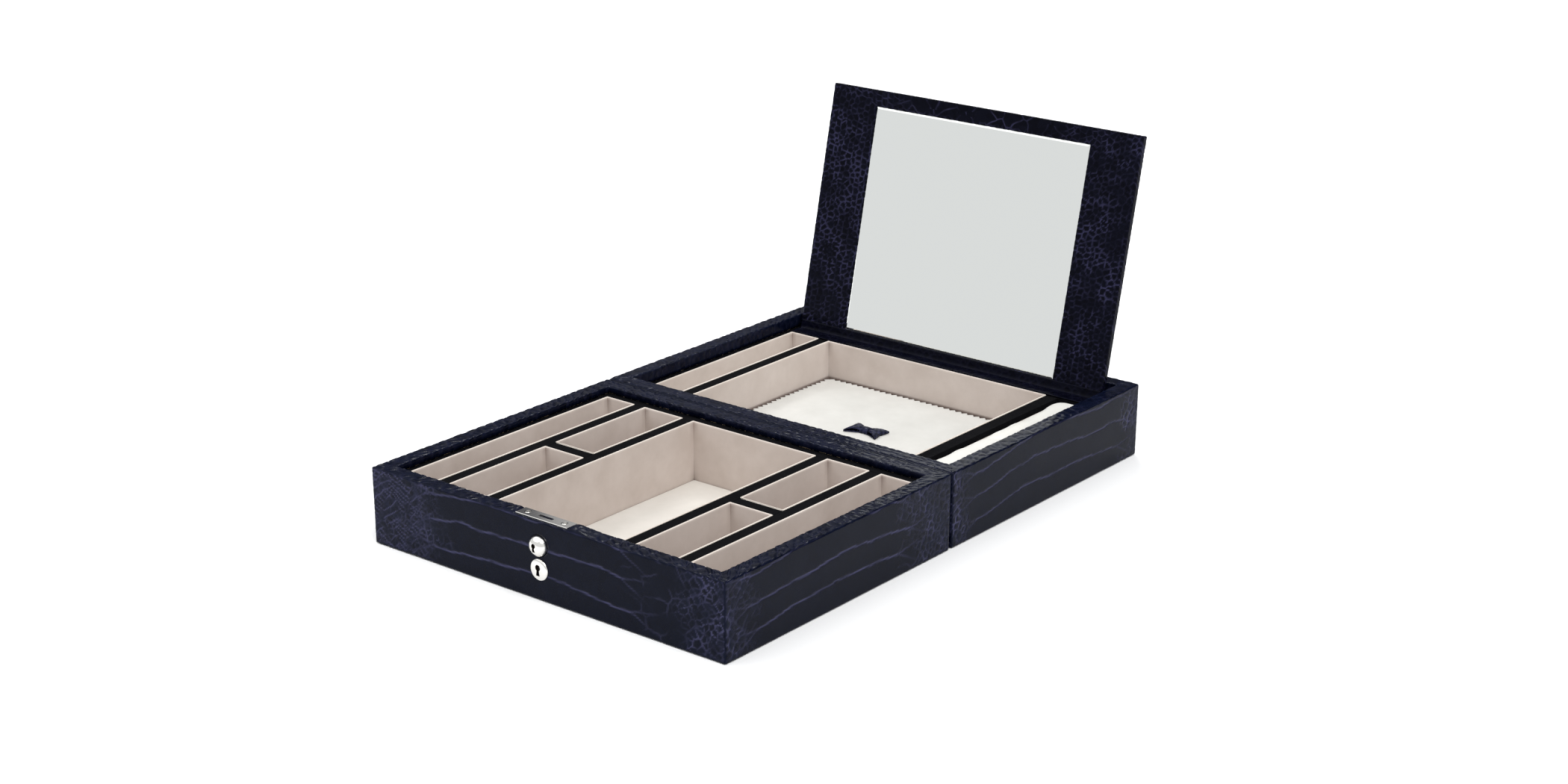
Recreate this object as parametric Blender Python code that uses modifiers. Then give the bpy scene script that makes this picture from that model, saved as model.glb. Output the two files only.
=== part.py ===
"""Jewellery box in embossed crocodile leather, lying open.

Two equal trays are joined by a leather fold along their touching long walls. The front tray
(base) has seven wells and the lock. The rear tray (lid) has three wells, two ring rolls, a
lift-out pad with a bow, and a mirror flap that stands up on a leather hinge.

Units are metres, +Z is up and +X runs along the front. The origin is the middle of the front
tray's underside. The constants below are millimetres and every builder scales them by MM.
"""

import math

import bmesh
import bpy
from mathutils import Matrix, Vector

MM = 0.001

# --- trays -------------------------------------------------------------------------------
TRAY_W = 280.0             # along the front, X
TRAY_D = 212.0             # front to back, Y
TRAY_H = 50.0              # table to rim, Z
FOLD_Y = TRAY_D / 2 + 1.0  # the fold lies midway in the 2 mm gap between the trays
RIM = 11.5                 # board and leather together, seen from above
SKIN = 1.0                 # leather thickness
GAP = 0.3                  # clearance that touching pieces keep
CLOTH = 0.8                # cloth under each tray
BOARD_Z = 1.1              # underside of the boards
FLOOR_TOP = 3.3            # top of the floor board
INSERT_Z = 3.6             # underside of everything that stands on the floor board

# --- wells and dividers ------------------------------------------------------------------
BASE_TOP = 45.0            # top of the front tray's insert
LID_TOP = 41.0             # top of the rear tray's insert, lower to take the mirror flap
SIDE_EDGE = 16.0           # outer face to the first well
END_EDGE = 17.5            # front or back face to the wells
LONG_W = 23.5              # long narrow wells at both sides
COLUMN_W = 32.0            # the two columns of paired wells
DIVIDER = 9.4              # divider with the gap on each side
LINER = 0.9                # suede lining wall
LINER_FLOOR = 0.6
LID_WELL_BACK = 175.6      # fold line to the back of the rear tray's wells

# --- pads and rolls ----------------------------------------------------------------------
FLOOR_PAD = 1.3
REST_W = 8.0               # ledge frame under the lift-out pad
REST_TOP = 10.6
PAD_Z = (10.9, 15.2)
PAD_PLAY = 0.8             # gap between the lift-out pad and its lining
BOW_W = 30.0
BOW_D = 18.0
BOW_WAIST = 7.0
BOW_Z = (15.5, 17.7)
BOW_V = 99.5               # fold line to the bow
ROLL_PLAY = 0.4
ROLL_RADIUS = 8.0
ROLL_TOPS = {"left": 32.0, "right": 41.8}

# --- mirror flap -------------------------------------------------------------------------
FLAP_W = 252.0
FLAP_L = 174.0
FLAP_T = 5.2
FLAP_SKIN = 0.9
FLAP_TILT = 12.5           # degrees that it leans back when open
FLAP_HINGE = (187.4, 42.3)  # distance behind the fold, height
MIRROR_W = 174.4
MIRROR_S = (5.8, 162.6)    # lower and upper edge, measured up the flap from its hinge
MIRROR_DEPTH = (0.3, 2.1)
APRON_T = 0.7              # leather strip from the flap's foot to the wells
APRON_W = 250.0

# --- lock --------------------------------------------------------------------------------
FRONT = -TRAY_D / 2
LID_BACK = FOLD_Y + 1.0 + TRAY_D
SLOT_IN = 6.8              # outer face to the middle of the hook's slot
SLOT_W = 11.0
SLOT_T = 2.2
PLATE_W = 41.0
PLATE_D = (2.2, 11.2)      # from the outer face
PLATE_Z = (49.0, 50.3)
PLATE_SCREW_X = 14.5
HOOK_PLATE_W = 36.0
HOOK_SCREW_X = 12.0
HOOK_W = 7.0
HOOK_T = 1.4
HOOK_TIP = 59.3
NOTCH_Z = (54.0, 56.4)
NOTCH_DEPTH = 2.0
CASE_X = (-10.0, 9.0)
CASE_D = (3.8, 8.8)        # from the outer face
CASE_Z = (12.0, 48.4)
CASE_WALL = 0.6
BUTTON_Z = 34.8
KEY_Z = 19.9
DISC_R = 6.8
BUTTON_TRAVEL = 1.5
STEM_R = 2.2
KEY_R = 3.0
BOLT_X = (-5.0, 0.0)
BOLT_D = (5.1, 7.1)        # from the outer face
BOLT_Z = (30.0, 46.0)
BOLT_SHOULDER = 39.6       # the hook's tip stops above this
ARM_W = 1.2                # the bolt's narrow upper arm
NOSE_Z = (43.9, 45.5)
NOSE_TIP = -2.1
BEVEL_X = -2.3             # where the bevel starts on the bolt's near face
TAIL_L = 8.0
TAIL_W = 2.0
TAIL_D = (5.9, 6.8)        # from the outer face
SPRING_Z = 37.0
SPRING_R = 1.1
SPRING_WIRE = 0.2
SPRING_TURNS = 4
SPRING_SEGMENTS = 8

ROUND = 32                 # sides of a round piece

PARTS = None
CUTTERS = None


# --- scene helpers -----------------------------------------------------------------------
def clear_scene():
    for obj in list(bpy.data.objects):
        bpy.data.objects.remove(obj, do_unlink=True)


def new_collection(name):
    collection = bpy.data.collections.new(name)
    bpy.context.scene.collection.children.link(collection)
    return collection


def material(name, colour, roughness, metallic=0.0):
    mat = bpy.data.materials.new(name)
    mat.use_nodes = True
    shader = mat.node_tree.nodes["Principled BSDF"]
    shader.inputs["Base Color"].default_value = (*colour, 1.0)
    shader.inputs["Roughness"].default_value = roughness
    shader.inputs["Metallic"].default_value = metallic
    return mat


def empty(name, location, tilt=0.0, parent=None):
    """A joint's axis. Everything that moves with the joint is parented to it."""
    axis = bpy.data.objects.new(name, None)
    axis.location = Vector(location) * MM
    axis.rotation_euler = (tilt, 0.0, 0.0)
    PARTS.objects.link(axis)
    if parent is not None:
        keep_place(axis, parent)
    return axis


def keep_place(obj, parent):
    """Parent an object to an unrotated empty without moving it."""
    obj.parent = parent
    obj.matrix_parent_inverse = Matrix.Translation(parent_place(parent)).inverted()


def parent_place(axis):
    """World position of an unrotated empty whose parents are unrotated too."""
    return axis.location.copy()


def finish(name, mesh, mat, location, parent=None, local=False):
    """Add a mesh as a named part, on an empty where it moves.

    With local set, the location is given in the parent's own tilted frame.
    """
    obj = bpy.data.objects.new(name, mesh)
    mesh.name = name
    mesh.materials.append(mat)
    obj.location = Vector(location) * MM
    PARTS.objects.link(obj)
    if parent is not None and local:
        obj.parent = parent
    elif parent is not None:
        keep_place(obj, parent)
    return obj


def box_mesh(size):
    mesh = bpy.data.meshes.new("box")
    work = bmesh.new()
    bmesh.ops.create_cube(work, size=1.0)
    bmesh.ops.scale(work, vec=Vector(size) * MM, verts=work.verts)
    work.to_mesh(mesh)
    work.free()
    return mesh


def middle_and_size(x, y, z):
    middle = [(low + high) / 2 for low, high in (x, y, z)]
    size = [high - low for low, high in (x, y, z)]
    return middle, size


def block(name, x, y, z, mat, parent=None, local=False):
    """A box between three pairs of limits."""
    middle, size = middle_and_size(x, y, z)
    return finish(name, box_mesh(size), mat, middle, parent, local)


def round_edges(obj, width, segments=2):
    bevel = obj.modifiers.new("round", "BEVEL")
    bevel.width = width * MM
    bevel.segments = segments
    bevel.limit_method = "ANGLE"
    bevel.angle_limit = math.radians(40)


def hide_cutter(obj):
    PARTS.objects.unlink(obj)
    CUTTERS.objects.link(obj)
    obj.hide_render = True
    obj.display_type = "WIRE"


def boolean(obj, tool, operation="DIFFERENCE"):
    step = obj.modifiers.new(tool.name, "BOOLEAN")
    step.operation = operation
    step.solver = "EXACT"
    step.object = tool


def cut_box(obj, x, y, z, parent=None, local=False):
    tool = block(obj.name + "_cut", x, y, z, obj.data.materials[0], parent, local)
    hide_cutter(tool)
    boolean(obj, tool)
    return tool


def cut_round(obj, radius, centre, length, axis):
    tool = rod(obj.name + "_bore", radius, centre, length, axis, obj.data.materials[0])
    hide_cutter(tool)
    boolean(obj, tool)


def rod(name, radius, centre, length, axis, mat, parent=None, tip=None):
    """A round bar along axis. tip is the far end's radius where it tapers."""
    mesh = bpy.data.meshes.new(name)
    work = bmesh.new()
    bmesh.ops.create_cone(work, cap_ends=True, segments=ROUND, radius1=radius * MM,
                          radius2=(radius if tip is None else tip) * MM, depth=length * MM)
    turn = Vector((0, 0, 1)).rotation_difference(Vector(axis)).to_matrix()
    bmesh.ops.rotate(work, cent=(0, 0, 0), matrix=turn, verts=work.verts)
    work.to_mesh(mesh)
    work.free()
    return finish(name, mesh, mat, centre, parent)


def turned(name, profile, centre, mat, parent=None, facing=(0, 0, 1)):
    """Turn an outline of (radius, height) points, top to bottom, about its own Z axis."""
    mesh = bpy.data.meshes.new(name)
    points = [(radius * MM, 0.0, height * MM) for radius, height in profile]
    mesh.from_pydata(points, [(i, i + 1) for i in range(len(points) - 1)], [])
    obj = finish(name, mesh, mat, centre, parent)
    obj.rotation_euler = Vector((0, 0, 1)).rotation_difference(Vector(facing)).to_euler()
    screw = obj.modifiers.new("turn", "SCREW")
    screw.steps = ROUND
    screw.render_steps = ROUND
    screw.use_merge_vertices = True
    screw.merge_threshold = 0.00001
    return obj


def ring(name, outer, inner, z, mat, parent=None):
    """A rectangular frame between two (x, y) pairs of limits."""
    obj = block(name, outer[0], outer[1], z, mat, parent)
    cut_box(obj, inner[0], inner[1], (z[0] - 1, z[1] + 1), parent)
    return obj


def grown(limits, amount):
    return limits[0] - amount, limits[1] + amount


# --- materials ---------------------------------------------------------------------------
def make_materials():
    return {
        "leather": material("navy_croc_leather", (0.012, 0.013, 0.027), 0.35),
        "board": material("fibreboard", (0.35, 0.25, 0.16), 0.9),
        "black": material("black_suede", (0.006, 0.006, 0.008), 0.95),
        "suede": material("beige_suede", (0.60, 0.51, 0.45), 0.95),
        "cream": material("cream_suede", (0.83, 0.81, 0.77), 0.95),
        "cloth": material("base_cloth", (0.01, 0.01, 0.012), 0.95),
        "nickel": material("polished_nickel", (0.86, 0.85, 0.82), 0.15, 1.0),
        "steel": material("spring_steel", (0.45, 0.45, 0.46), 0.35, 1.0),
        "mirror": material("mirror_glass", (0.90, 0.92, 0.91), 0.02, 1.0),
    }


# --- a tray ------------------------------------------------------------------------------
def tray_limits(front):
    return (-TRAY_W / 2, TRAY_W / 2), (front, front + TRAY_D)


def tray_shell(tray, front, insert_top, mats, parent=None):
    """Cloth, floor board, four wall boards and the leather cover of one tray."""
    x, y = tray_limits(front)
    board_out = -(SKIN + GAP)
    board_in = -(RIM - SKIN - GAP)
    x_out, y_out = grown(x, board_out), grown(y, board_out)
    x_in, y_in = grown(x, board_in), grown(y, board_in)
    wall_z = (BOARD_Z, TRAY_H - SKIN - GAP)
    block(tray + "_underside", grown(x, -4), grown(y, -4), (0, CLOTH), mats["cloth"], parent)
    block(tray + "_floor", grown(x_in, -GAP), grown(y_in, -GAP), (BOARD_Z, FLOOR_TOP),
          mats["board"], parent)
    block(tray + "_wall_front", x_out, (y_out[0], y_in[0]), wall_z, mats["board"], parent)
    block(tray + "_wall_back", x_out, (y_in[1], y_out[1]), wall_z, mats["board"], parent)
    side_y = grown(y_in, -GAP)
    block(tray + "_wall_left", (x_out[0], x_in[0]), side_y, wall_z, mats["board"], parent)
    block(tray + "_wall_right", (x_in[1], x_out[1]), side_y, wall_z, mats["board"], parent)
    tray_cover(tray, x, y, insert_top, mats["leather"], parent)


def tray_cover(tray, x, y, insert_top, leather, parent):
    """Leather over the outside, the rim and the inner face down to the insert."""
    cover = block(tray + "_cover", x, y, (0.6, TRAY_H), leather, parent)
    round_edges(cover, 0.9)
    inside_x, inside_y = grown(x, -SKIN), grown(y, -SKIN)
    cut_box(cover, grown(x, -RIM), grown(y, -RIM), (-5, TRAY_H + 5), parent)
    cut_box(cover, inside_x, inside_y, (-5, insert_top + GAP), parent)
    channel = cut_box(cover, inside_x, inside_y, (insert_top - 5, TRAY_H - SKIN), parent)
    cut_box(channel, grown(x, SKIN - RIM), grown(y, SKIN - RIM), (insert_top - 9, TRAY_H), parent)


def wells_across():
    """X limits of the wells' columns, from left to right."""
    edge = -TRAY_W / 2 + SIDE_EDGE
    long_left = (edge, edge + LONG_W)
    column_left = (long_left[1] + DIVIDER, long_left[1] + DIVIDER + COLUMN_W)
    centre = (column_left[1] + DIVIDER, -column_left[1] - DIVIDER)
    return {
        "long_left": long_left,
        "column_left": column_left,
        "centre": centre,
        "column_right": (-column_left[1], -column_left[0]),
        "long_right": (-long_left[1], -long_left[0]),
    }


def insert_frame(tray, front, x, y, top, mats, parent=None):
    """Black-covered frame that lines the walls around the wells."""
    outer_x, outer_y = tray_limits(front)
    play = -(RIM - SKIN)
    outer = (grown(outer_x, play), grown(outer_y, play))
    return ring(tray + "_frame", outer, (grown(x, GAP), grown(y, GAP)), (INSERT_Z, top),
                mats["black"], parent)


def divider(name, x, y, top, mats, parent=None):
    return block(name, x, y, (INSERT_Z, top), mats["black"], parent)


def liner(name, x, y, top, mats, parent=None):
    """Suede-lined cup that fills one well."""
    obj = block(name, x, y, (INSERT_Z, top), mats["suede"], parent)
    floor = INSERT_Z + LINER_FLOOR
    cut_box(obj, grown(x, -LINER), grown(y, -LINER), (floor, top + 5), parent)
    return obj


# --- front tray --------------------------------------------------------------------------
def base_insert(mats):
    across = wells_across()
    y = (FRONT + END_EDGE, -FRONT - END_EDGE)
    half = DIVIDER / 2
    rows = {"front": (y[0], -half), "rear": (half, y[1])}
    whole_x = (across["long_left"][0], across["long_right"][1])
    insert_frame("base", FRONT, whole_x, y, BASE_TOP, mats)
    columns = list(across.values())
    for number, (left, right) in enumerate(zip(columns, columns[1:]), start=1):
        divider("base_divider_%d" % number, (left[1] + GAP, right[0] - GAP), y, BASE_TOP, mats)
    for side in ("left", "right"):
        column = across["column_" + side]
        divider("base_cross_divider_" + side, column, (-half + GAP, half - GAP), BASE_TOP, mats)
        for row, limits in rows.items():
            liner("base_liner_%s_%s" % (row, side), column, limits, BASE_TOP, mats)
        liner("base_liner_long_" + side, across["long_" + side], y, BASE_TOP, mats)
    liner("base_liner_centre", across["centre"], y, BASE_TOP, mats)
    pad_z = INSERT_Z + LINER_FLOOR + GAP
    play = -(LINER + GAP)
    pad = block("base_centre_pad", grown(across["centre"], play), grown(y, play),
                (pad_z, pad_z + FLOOR_PAD), mats["cream"])
    round_edges(pad, 0.4)


# --- rear tray ---------------------------------------------------------------------------
def lid_insert(mats, parent):
    across = wells_across()
    y = (FOLD_Y + 1.0 + END_EDGE, FOLD_Y + LID_WELL_BACK)
    wells = {
        "left": across["long_left"],
        "centre": (across["long_left"][1] + DIVIDER, across["long_right"][0] - DIVIDER),
        "right": across["long_right"],
    }
    whole_x = (wells["left"][0], wells["right"][1])
    insert_frame("lid", FOLD_Y + 1.0, whole_x, y, LID_TOP, mats, parent)
    for side, left, right in (("left", "left", "centre"), ("right", "centre", "right")):
        gap_x = (wells[left][1] + GAP, wells[right][0] - GAP)
        divider("lid_divider_" + side, gap_x, y, LID_TOP, mats, parent)
    for name, x in wells.items():
        liner("lid_liner_" + name, x, y, LID_TOP, mats, parent)
    for side, top in ROLL_TOPS.items():
        ring_roll("ring_roll_" + side, wells[side], y, top, mats, parent)
    play = -(LINER + GAP)
    outer = (grown(wells["centre"], play), grown(y, play))
    inner = (grown(outer[0], -REST_W), grown(outer[1], -REST_W))
    ring("pad_rest", outer, inner, (INSERT_Z + LINER_FLOOR + GAP, REST_TOP), mats["black"], parent)
    return wells["centre"], y


def ring_roll(name, x, y, top, mats, parent):
    """Long soft roll with a rounded crown and rounded ends."""
    play = -(LINER + ROLL_PLAY)
    x, y = grown(x, play), grown(y, play)
    bottom = INSERT_Z + LINER_FLOOR + GAP
    middle, size = middle_and_size(x, y, (bottom, top))
    mesh = box_mesh(size)
    work = bmesh.new()
    work.from_mesh(mesh)
    crown = size[2] / 2 * MM - 1e-6
    upper = [e for e in work.edges if all(v.co.z > crown for v in e.verts)]
    bmesh.ops.bevel(work, geom=upper, offset=ROLL_RADIUS * MM, segments=5, profile=0.5,
                    affect="EDGES")
    work.to_mesh(mesh)
    work.free()
    finish(name, mesh, mats["cream"], middle, parent)


def lift_out_pad(x, y, mats, lid):
    axis = empty("pad_lift_axis", (0, FOLD_Y + BOW_V, PAD_Z[1]), parent=lid)
    play = -(LINER + PAD_PLAY)
    pad = block("lift_out_pad", grown(x, play), grown(y, play), PAD_Z, mats["cream"], axis)
    round_edges(pad, 0.5)
    bow(mats["leather"], axis)


def bow(leather, axis):
    """Flat bow: one outline with a narrow waist, as thick as the folded strap."""
    half_w, half_d, waist = BOW_W / 2, BOW_D / 2, BOW_WAIST / 2
    quarter = [(half_w, half_d - 1.0), (half_w - 2.0, half_d), (waist, waist)]
    outline = quarter + [(-x, y) for x, y in reversed(quarter)]
    outline += [(-x, -y) for x, y in quarter] + [(x, -y) for x, y in reversed(quarter)]
    curve = bpy.data.curves.new("bow", "CURVE")
    curve.dimensions = "2D"
    curve.fill_mode = "BOTH"
    curve.extrude = (BOW_Z[1] - BOW_Z[0]) / 2 * MM
    spline = curve.splines.new("POLY")
    spline.points.add(len(outline) - 1)
    for point, (x, y) in zip(spline.points, outline):
        point.co = (x * MM, y * MM, 0.0, 1.0)
    spline.use_cyclic_u = True
    middle = (0, FOLD_Y + BOW_V, sum(BOW_Z) / 2)
    finish("bow", curve, leather, middle, axis)


# --- mirror flap -------------------------------------------------------------------------
def mirror_flap(mats, lid):
    """The flap's own frame: X across, Y from its front face to its back, Z up from the hinge."""
    hinge = (0, FOLD_Y + FLAP_HINGE[0], FLAP_HINGE[1])
    axis = empty("mirror_flap_axis", hinge, -math.radians(FLAP_TILT), lid)
    half = FLAP_W / 2
    inner = half - FLAP_SKIN
    mirror_x = (-MIRROR_W / 2, MIRROR_W / 2)
    cover = block("flap_cover", (-half, half), (0, FLAP_T), (0, FLAP_L), mats["leather"], axis, True)
    round_edges(cover, 0.7)
    cut_box(cover, (-inner, inner), (FLAP_SKIN, FLAP_T - FLAP_SKIN),
            (FLAP_SKIN, FLAP_L - FLAP_SKIN), axis, True)
    through_skin = (-1, FLAP_SKIN + GAP)
    cut_box(cover, mirror_x, through_skin, (MIRROR_S[0] - 2, MIRROR_S[1]), axis, True)
    cut_box(cover, (-half - 1, half + 1), through_skin, (-1, MIRROR_S[0]), axis, True)
    edge = FLAP_SKIN + GAP
    board = block("flap_board", (-half + edge, half - edge), (edge, FLAP_T - edge),
                  (edge, FLAP_L - edge), mats["board"], axis, True)
    cut_box(board, mirror_x, (-1, MIRROR_DEPTH[1] + GAP), MIRROR_S, axis, True)
    block("flap_mirror", grown(mirror_x, -GAP), MIRROR_DEPTH, grown(MIRROR_S, -GAP),
          mats["mirror"], axis, True)
    strip = APRON_W / 2
    block("flap_hinge_upper", (-strip, strip), (0, FLAP_SKIN - GAP), (GAP, MIRROR_S[0] - GAP),
          mats["leather"], axis, True)
    block("flap_hinge_lower", (-strip, strip), (FOLD_Y + LID_WELL_BACK + 2 * GAP, hinge[1] - GAP),
          (LID_TOP + GAP, LID_TOP + GAP + APRON_T), mats["leather"], lid)


# --- lock --------------------------------------------------------------------------------
def from_front(limits):
    return FRONT + limits[0], FRONT + limits[1]


def lock_mortise():
    """Room for the lock in the front wall, its leather and its top."""
    wall = bpy.data.objects["base_wall_front"]
    cover = bpy.data.objects["base_cover"]
    cut_box(wall, grown(CASE_X, GAP), grown(from_front(CASE_D), GAP), (CASE_Z[0] - GAP, TRAY_H + 5))
    for x in (-PLATE_SCREW_X, PLATE_SCREW_X):
        cut_round(wall, 1.3, (x, FRONT + SLOT_IN, TRAY_H - 4), 12, (0, 0, 1))
    plate_x = (-PLATE_W / 2 - GAP, PLATE_W / 2 + GAP)
    cut_box(cover, plate_x, grown(from_front(PLATE_D), GAP), (PLATE_Z[0] - GAP, TRAY_H + 4))
    for target in (wall, cover):
        cut_round(target, DISC_R + GAP, (0, FRONT, BUTTON_Z), 6.2, (0, 1, 0))
        cut_round(target, STEM_R + GAP, (0, FRONT + 3, BUTTON_Z), 12, (0, 1, 0))
        cut_round(target, KEY_R + GAP, (0, FRONT + 3, KEY_Z), 12, (0, 1, 0))


def case_inside():
    x = grown(CASE_X, -CASE_WALL)
    y = grown(from_front(CASE_D), -CASE_WALL)
    return x, y, (CASE_Z[0] + CASE_WALL, CASE_Z[1] + 5)


def fixed_lock(mats):
    slot_y = FRONT + SLOT_IN
    case = block("lock_case", CASE_X, from_front(CASE_D), CASE_Z, mats["steel"])
    cut_box(case, *case_inside())
    cut_round(case, STEM_R + GAP, (0, FRONT + CASE_D[0], BUTTON_Z), 2, (0, 1, 0))
    cut_round(case, KEY_R + GAP, (0, FRONT + CASE_D[0], KEY_Z), 2, (0, 1, 0))
    plate = block("lock_plate", (-PLATE_W / 2, PLATE_W / 2), from_front(PLATE_D), PLATE_Z,
                  mats["nickel"])
    round_edges(plate, 0.3)
    slot_x = (-SLOT_W / 2, SLOT_W / 2)
    cut_box(plate, slot_x, (slot_y - SLOT_T / 2, slot_y + SLOT_T / 2), (45, 55))
    for side, x in (("left", -PLATE_SCREW_X), ("right", PLATE_SCREW_X)):
        cut_round(plate, 2.1, (x, slot_y, TRAY_H), 6, (0, 0, 1))
        screw("lock_plate_screw_" + side, (x, slot_y, PLATE_Z[1] + 0.1), mats["nickel"])
    escutcheon = turned("key_escutcheon", disc_profile(1.5), (0, FRONT - GAP, KEY_Z),
                        mats["nickel"], facing=(0, -1, 0))
    cut_round(escutcheon, 1.6, (0, FRONT, KEY_Z + 1.4), 12, (0, 1, 0))
    cut_box(escutcheon, (-0.75, 0.75), (FRONT - 8, FRONT + 8), (KEY_Z - 3.2, KEY_Z + 1.4))


def disc_profile(height, radius=DISC_R):
    """Shallow dome with a rounded shoulder, top to bottom."""
    arc = [math.radians(a) for a in (0, 30, 60, 90)]
    shoulder = 0.55 * height
    points = [(0.0, height), (radius - 2.2, height - 0.08)]
    points += [(radius - shoulder + shoulder * math.sin(a), shoulder * math.cos(a) + 0.3 * height)
               for a in arc]
    return points + [(radius, 0.0), (0.0, 0.0)]


def screw(name, top, mat, parent=None):
    """Countersunk screw hanging from the middle of its head."""
    profile = [(0.0, 0.0), (1.4, 0.0), (1.8, -0.35), (1.0, -1.2), (1.0, -7.0), (0.0, -7.8)]
    obj = turned(name, profile, top, mat, parent)
    cut_box(obj, (top[0] - 3, top[0] + 3), (top[1] - 0.25, top[1] + 0.25),
            (top[2] - 0.4, top[2] + 2), parent)


def push_button(mats):
    """Domed button whose stem ends in a cone that wedges the bolt aside."""
    axis = empty("button_push_axis", (0, FRONT, BUTTON_Z))
    head = [(0.0, 5.0), (2.6, 4.65), (4.5, 3.75), (5.8, 2.4), (6.5, 0.9), (6.5, -1.0)]
    cone_start, cone_end = -4.5, -6.3
    stem = [(STEM_R, -1.0), (STEM_R, cone_start), (STEM_R + cone_end - cone_start, cone_end),
            (0.0, cone_end)]
    turned("push_button", head + stem, (0, FRONT, BUTTON_Z), mats["nickel"], axis, (0, -1, 0))


def lock_bolt(mats):
    """Flat bolt that slides sideways: its nose holds the hook, its bevel meets the cone."""
    axis = empty("bolt_slide_axis", (0, FRONT + SLOT_IN, BUTTON_Z))
    y = from_front(BOLT_D)
    left = BOLT_X[0]
    bolt = block("lock_bolt", BOLT_X, y, BOLT_Z, mats["steel"], axis)
    cut_box(bolt, (left + ARM_W, BOLT_X[1] + 1), grown(y, 1), (BOLT_SHOULDER, BOLT_Z[1] + 5), axis)
    nose = block("lock_bolt_nose", (left + ARM_W / 2, NOSE_TIP), y, NOSE_Z, mats["steel"], axis)
    hide_cutter(nose)
    boolean(bolt, nose, "UNION")
    bevel_tool(bolt, y[0], axis)
    spring_x = (CASE_X[0] + CASE_WALL + GAP, left - GAP)
    coil_spring("bolt_spring", spring_x, sum(y) / 2, SPRING_Z, mats["steel"])


def bevel_tool(bolt, near_y, axis):
    """Cut the bolt's edge to 45 degrees, parallel to the flank of the button's cone."""
    size = 8.0
    tall = (BOLT_Z[0] - 2, BOLT_SHOULDER + 2)
    tool = block("lock_bolt_bevel", (-size / 2, size / 2), (-size / 2, size / 2), tall,
                 bolt.data.materials[0])
    reach = size / 2 * math.sqrt(0.5)
    tool.location = Vector((BEVEL_X + reach, near_y - reach, sum(tall) / 2)) * MM
    tool.rotation_euler = (0, 0, math.radians(45))
    hide_cutter(tool)
    keep_place(tool, axis)
    boolean(bolt, tool)


def coil_spring(name, x, y, z, mat):
    """Compression spring along X."""
    curve = bpy.data.curves.new(name, "CURVE")
    curve.dimensions = "3D"
    curve.bevel_depth = SPRING_WIRE * MM
    curve.bevel_resolution = 1
    curve.use_fill_caps = True
    count = SPRING_TURNS * SPRING_SEGMENTS
    spline = curve.splines.new("POLY")
    spline.points.add(count)
    low, high = x[0] + SPRING_WIRE, x[1] - SPRING_WIRE
    for i, point in enumerate(spline.points):
        angle = 2 * math.pi * i / SPRING_SEGMENTS
        along = low + (high - low) * i / count
        place = Vector((along - x[0], SPRING_R * math.cos(angle), SPRING_R * math.sin(angle)))
        point.co = (*(place * MM), 1.0)
    finish(name, curve, mat, (x[0], y, z))


def key_barrel(mats):
    """Barrel behind the keyhole. Its tail lies sideways and stands up under the bolt to lock."""
    axis = empty("key_turn_axis", (0, FRONT, KEY_Z))
    back = 6.9
    barrel = rod("key_barrel", KEY_R, (0, FRONT + (0.5 + back) / 2, KEY_Z), back - 0.5, (0, 1, 0),
                 mats["steel"], axis)
    cut_box(barrel, (-0.5, 0.5), (FRONT - 1, FRONT + 3.5), (KEY_Z - 2.2, KEY_Z + 2.2), axis)
    half = TAIL_W / 2
    cut_box(barrel, (-5, half + GAP), from_front((TAIL_D[0] - GAP, back + 2)),
            (KEY_Z - half - GAP, KEY_Z + half + GAP), axis)
    block("barrel_tail", (-TAIL_L, half), from_front(TAIL_D), (KEY_Z - half, KEY_Z + half),
          mats["steel"], axis)


def hook_plate(mats, lid):
    """Plate on the rear tray's back rim, with the tongue that drops into the lock."""
    y = LID_BACK - SLOT_IN
    limits = (LID_BACK - PLATE_D[1], LID_BACK - PLATE_D[0])
    cover = bpy.data.objects["lid_cover"]
    plate_x = (-HOOK_PLATE_W / 2, HOOK_PLATE_W / 2)
    cut_box(cover, grown(plate_x, GAP), grown(limits, GAP), (PLATE_Z[0] - GAP, TRAY_H + 4), lid)
    plate = block("hook_plate", plate_x, limits, PLATE_Z, mats["nickel"], lid)
    tongue = block("hook_tongue", (-HOOK_W / 2, HOOK_W / 2), (y - HOOK_T / 2, y + HOOK_T / 2),
                   (PLATE_Z[0] + 0.3, HOOK_TIP), mats["nickel"], lid)
    hide_cutter(tongue)
    boolean(plate, tongue, "UNION")
    notch_x = (-HOOK_W / 2 - 1, -HOOK_W / 2 + NOTCH_DEPTH)
    cut_box(plate, notch_x, (y - 3, y + 3), NOTCH_Z, lid)
    wall = bpy.data.objects["lid_wall_back"]
    for side, x in (("left", -HOOK_SCREW_X), ("right", HOOK_SCREW_X)):
        cut_round(plate, 2.1, (x, y, TRAY_H), 4, (0, 0, 1))
        cut_round(wall, 1.3, (x, y, TRAY_H - 4), 12, (0, 0, 1))
        screw("hook_plate_screw_" + side, (x, y, PLATE_Z[1] + 0.1), mats["nickel"], lid)


# --- fold --------------------------------------------------------------------------------
def fold_leather(mats, lid):
    """Hinge leather between the trays, split along the fold into one half for each tray."""
    x = (-TRAY_W / 2 + 3, TRAY_W / 2 - 3)
    z = (6.0, TRAY_H - GAP)
    thickness = 0.5
    near = GAP / 2
    block("hinge_leather_base", x, (FOLD_Y - near - thickness, FOLD_Y - near), z, mats["leather"])
    block("hinge_leather_lid", x, (FOLD_Y + near, FOLD_Y + near + thickness), z,
          mats["leather"], lid)


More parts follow.
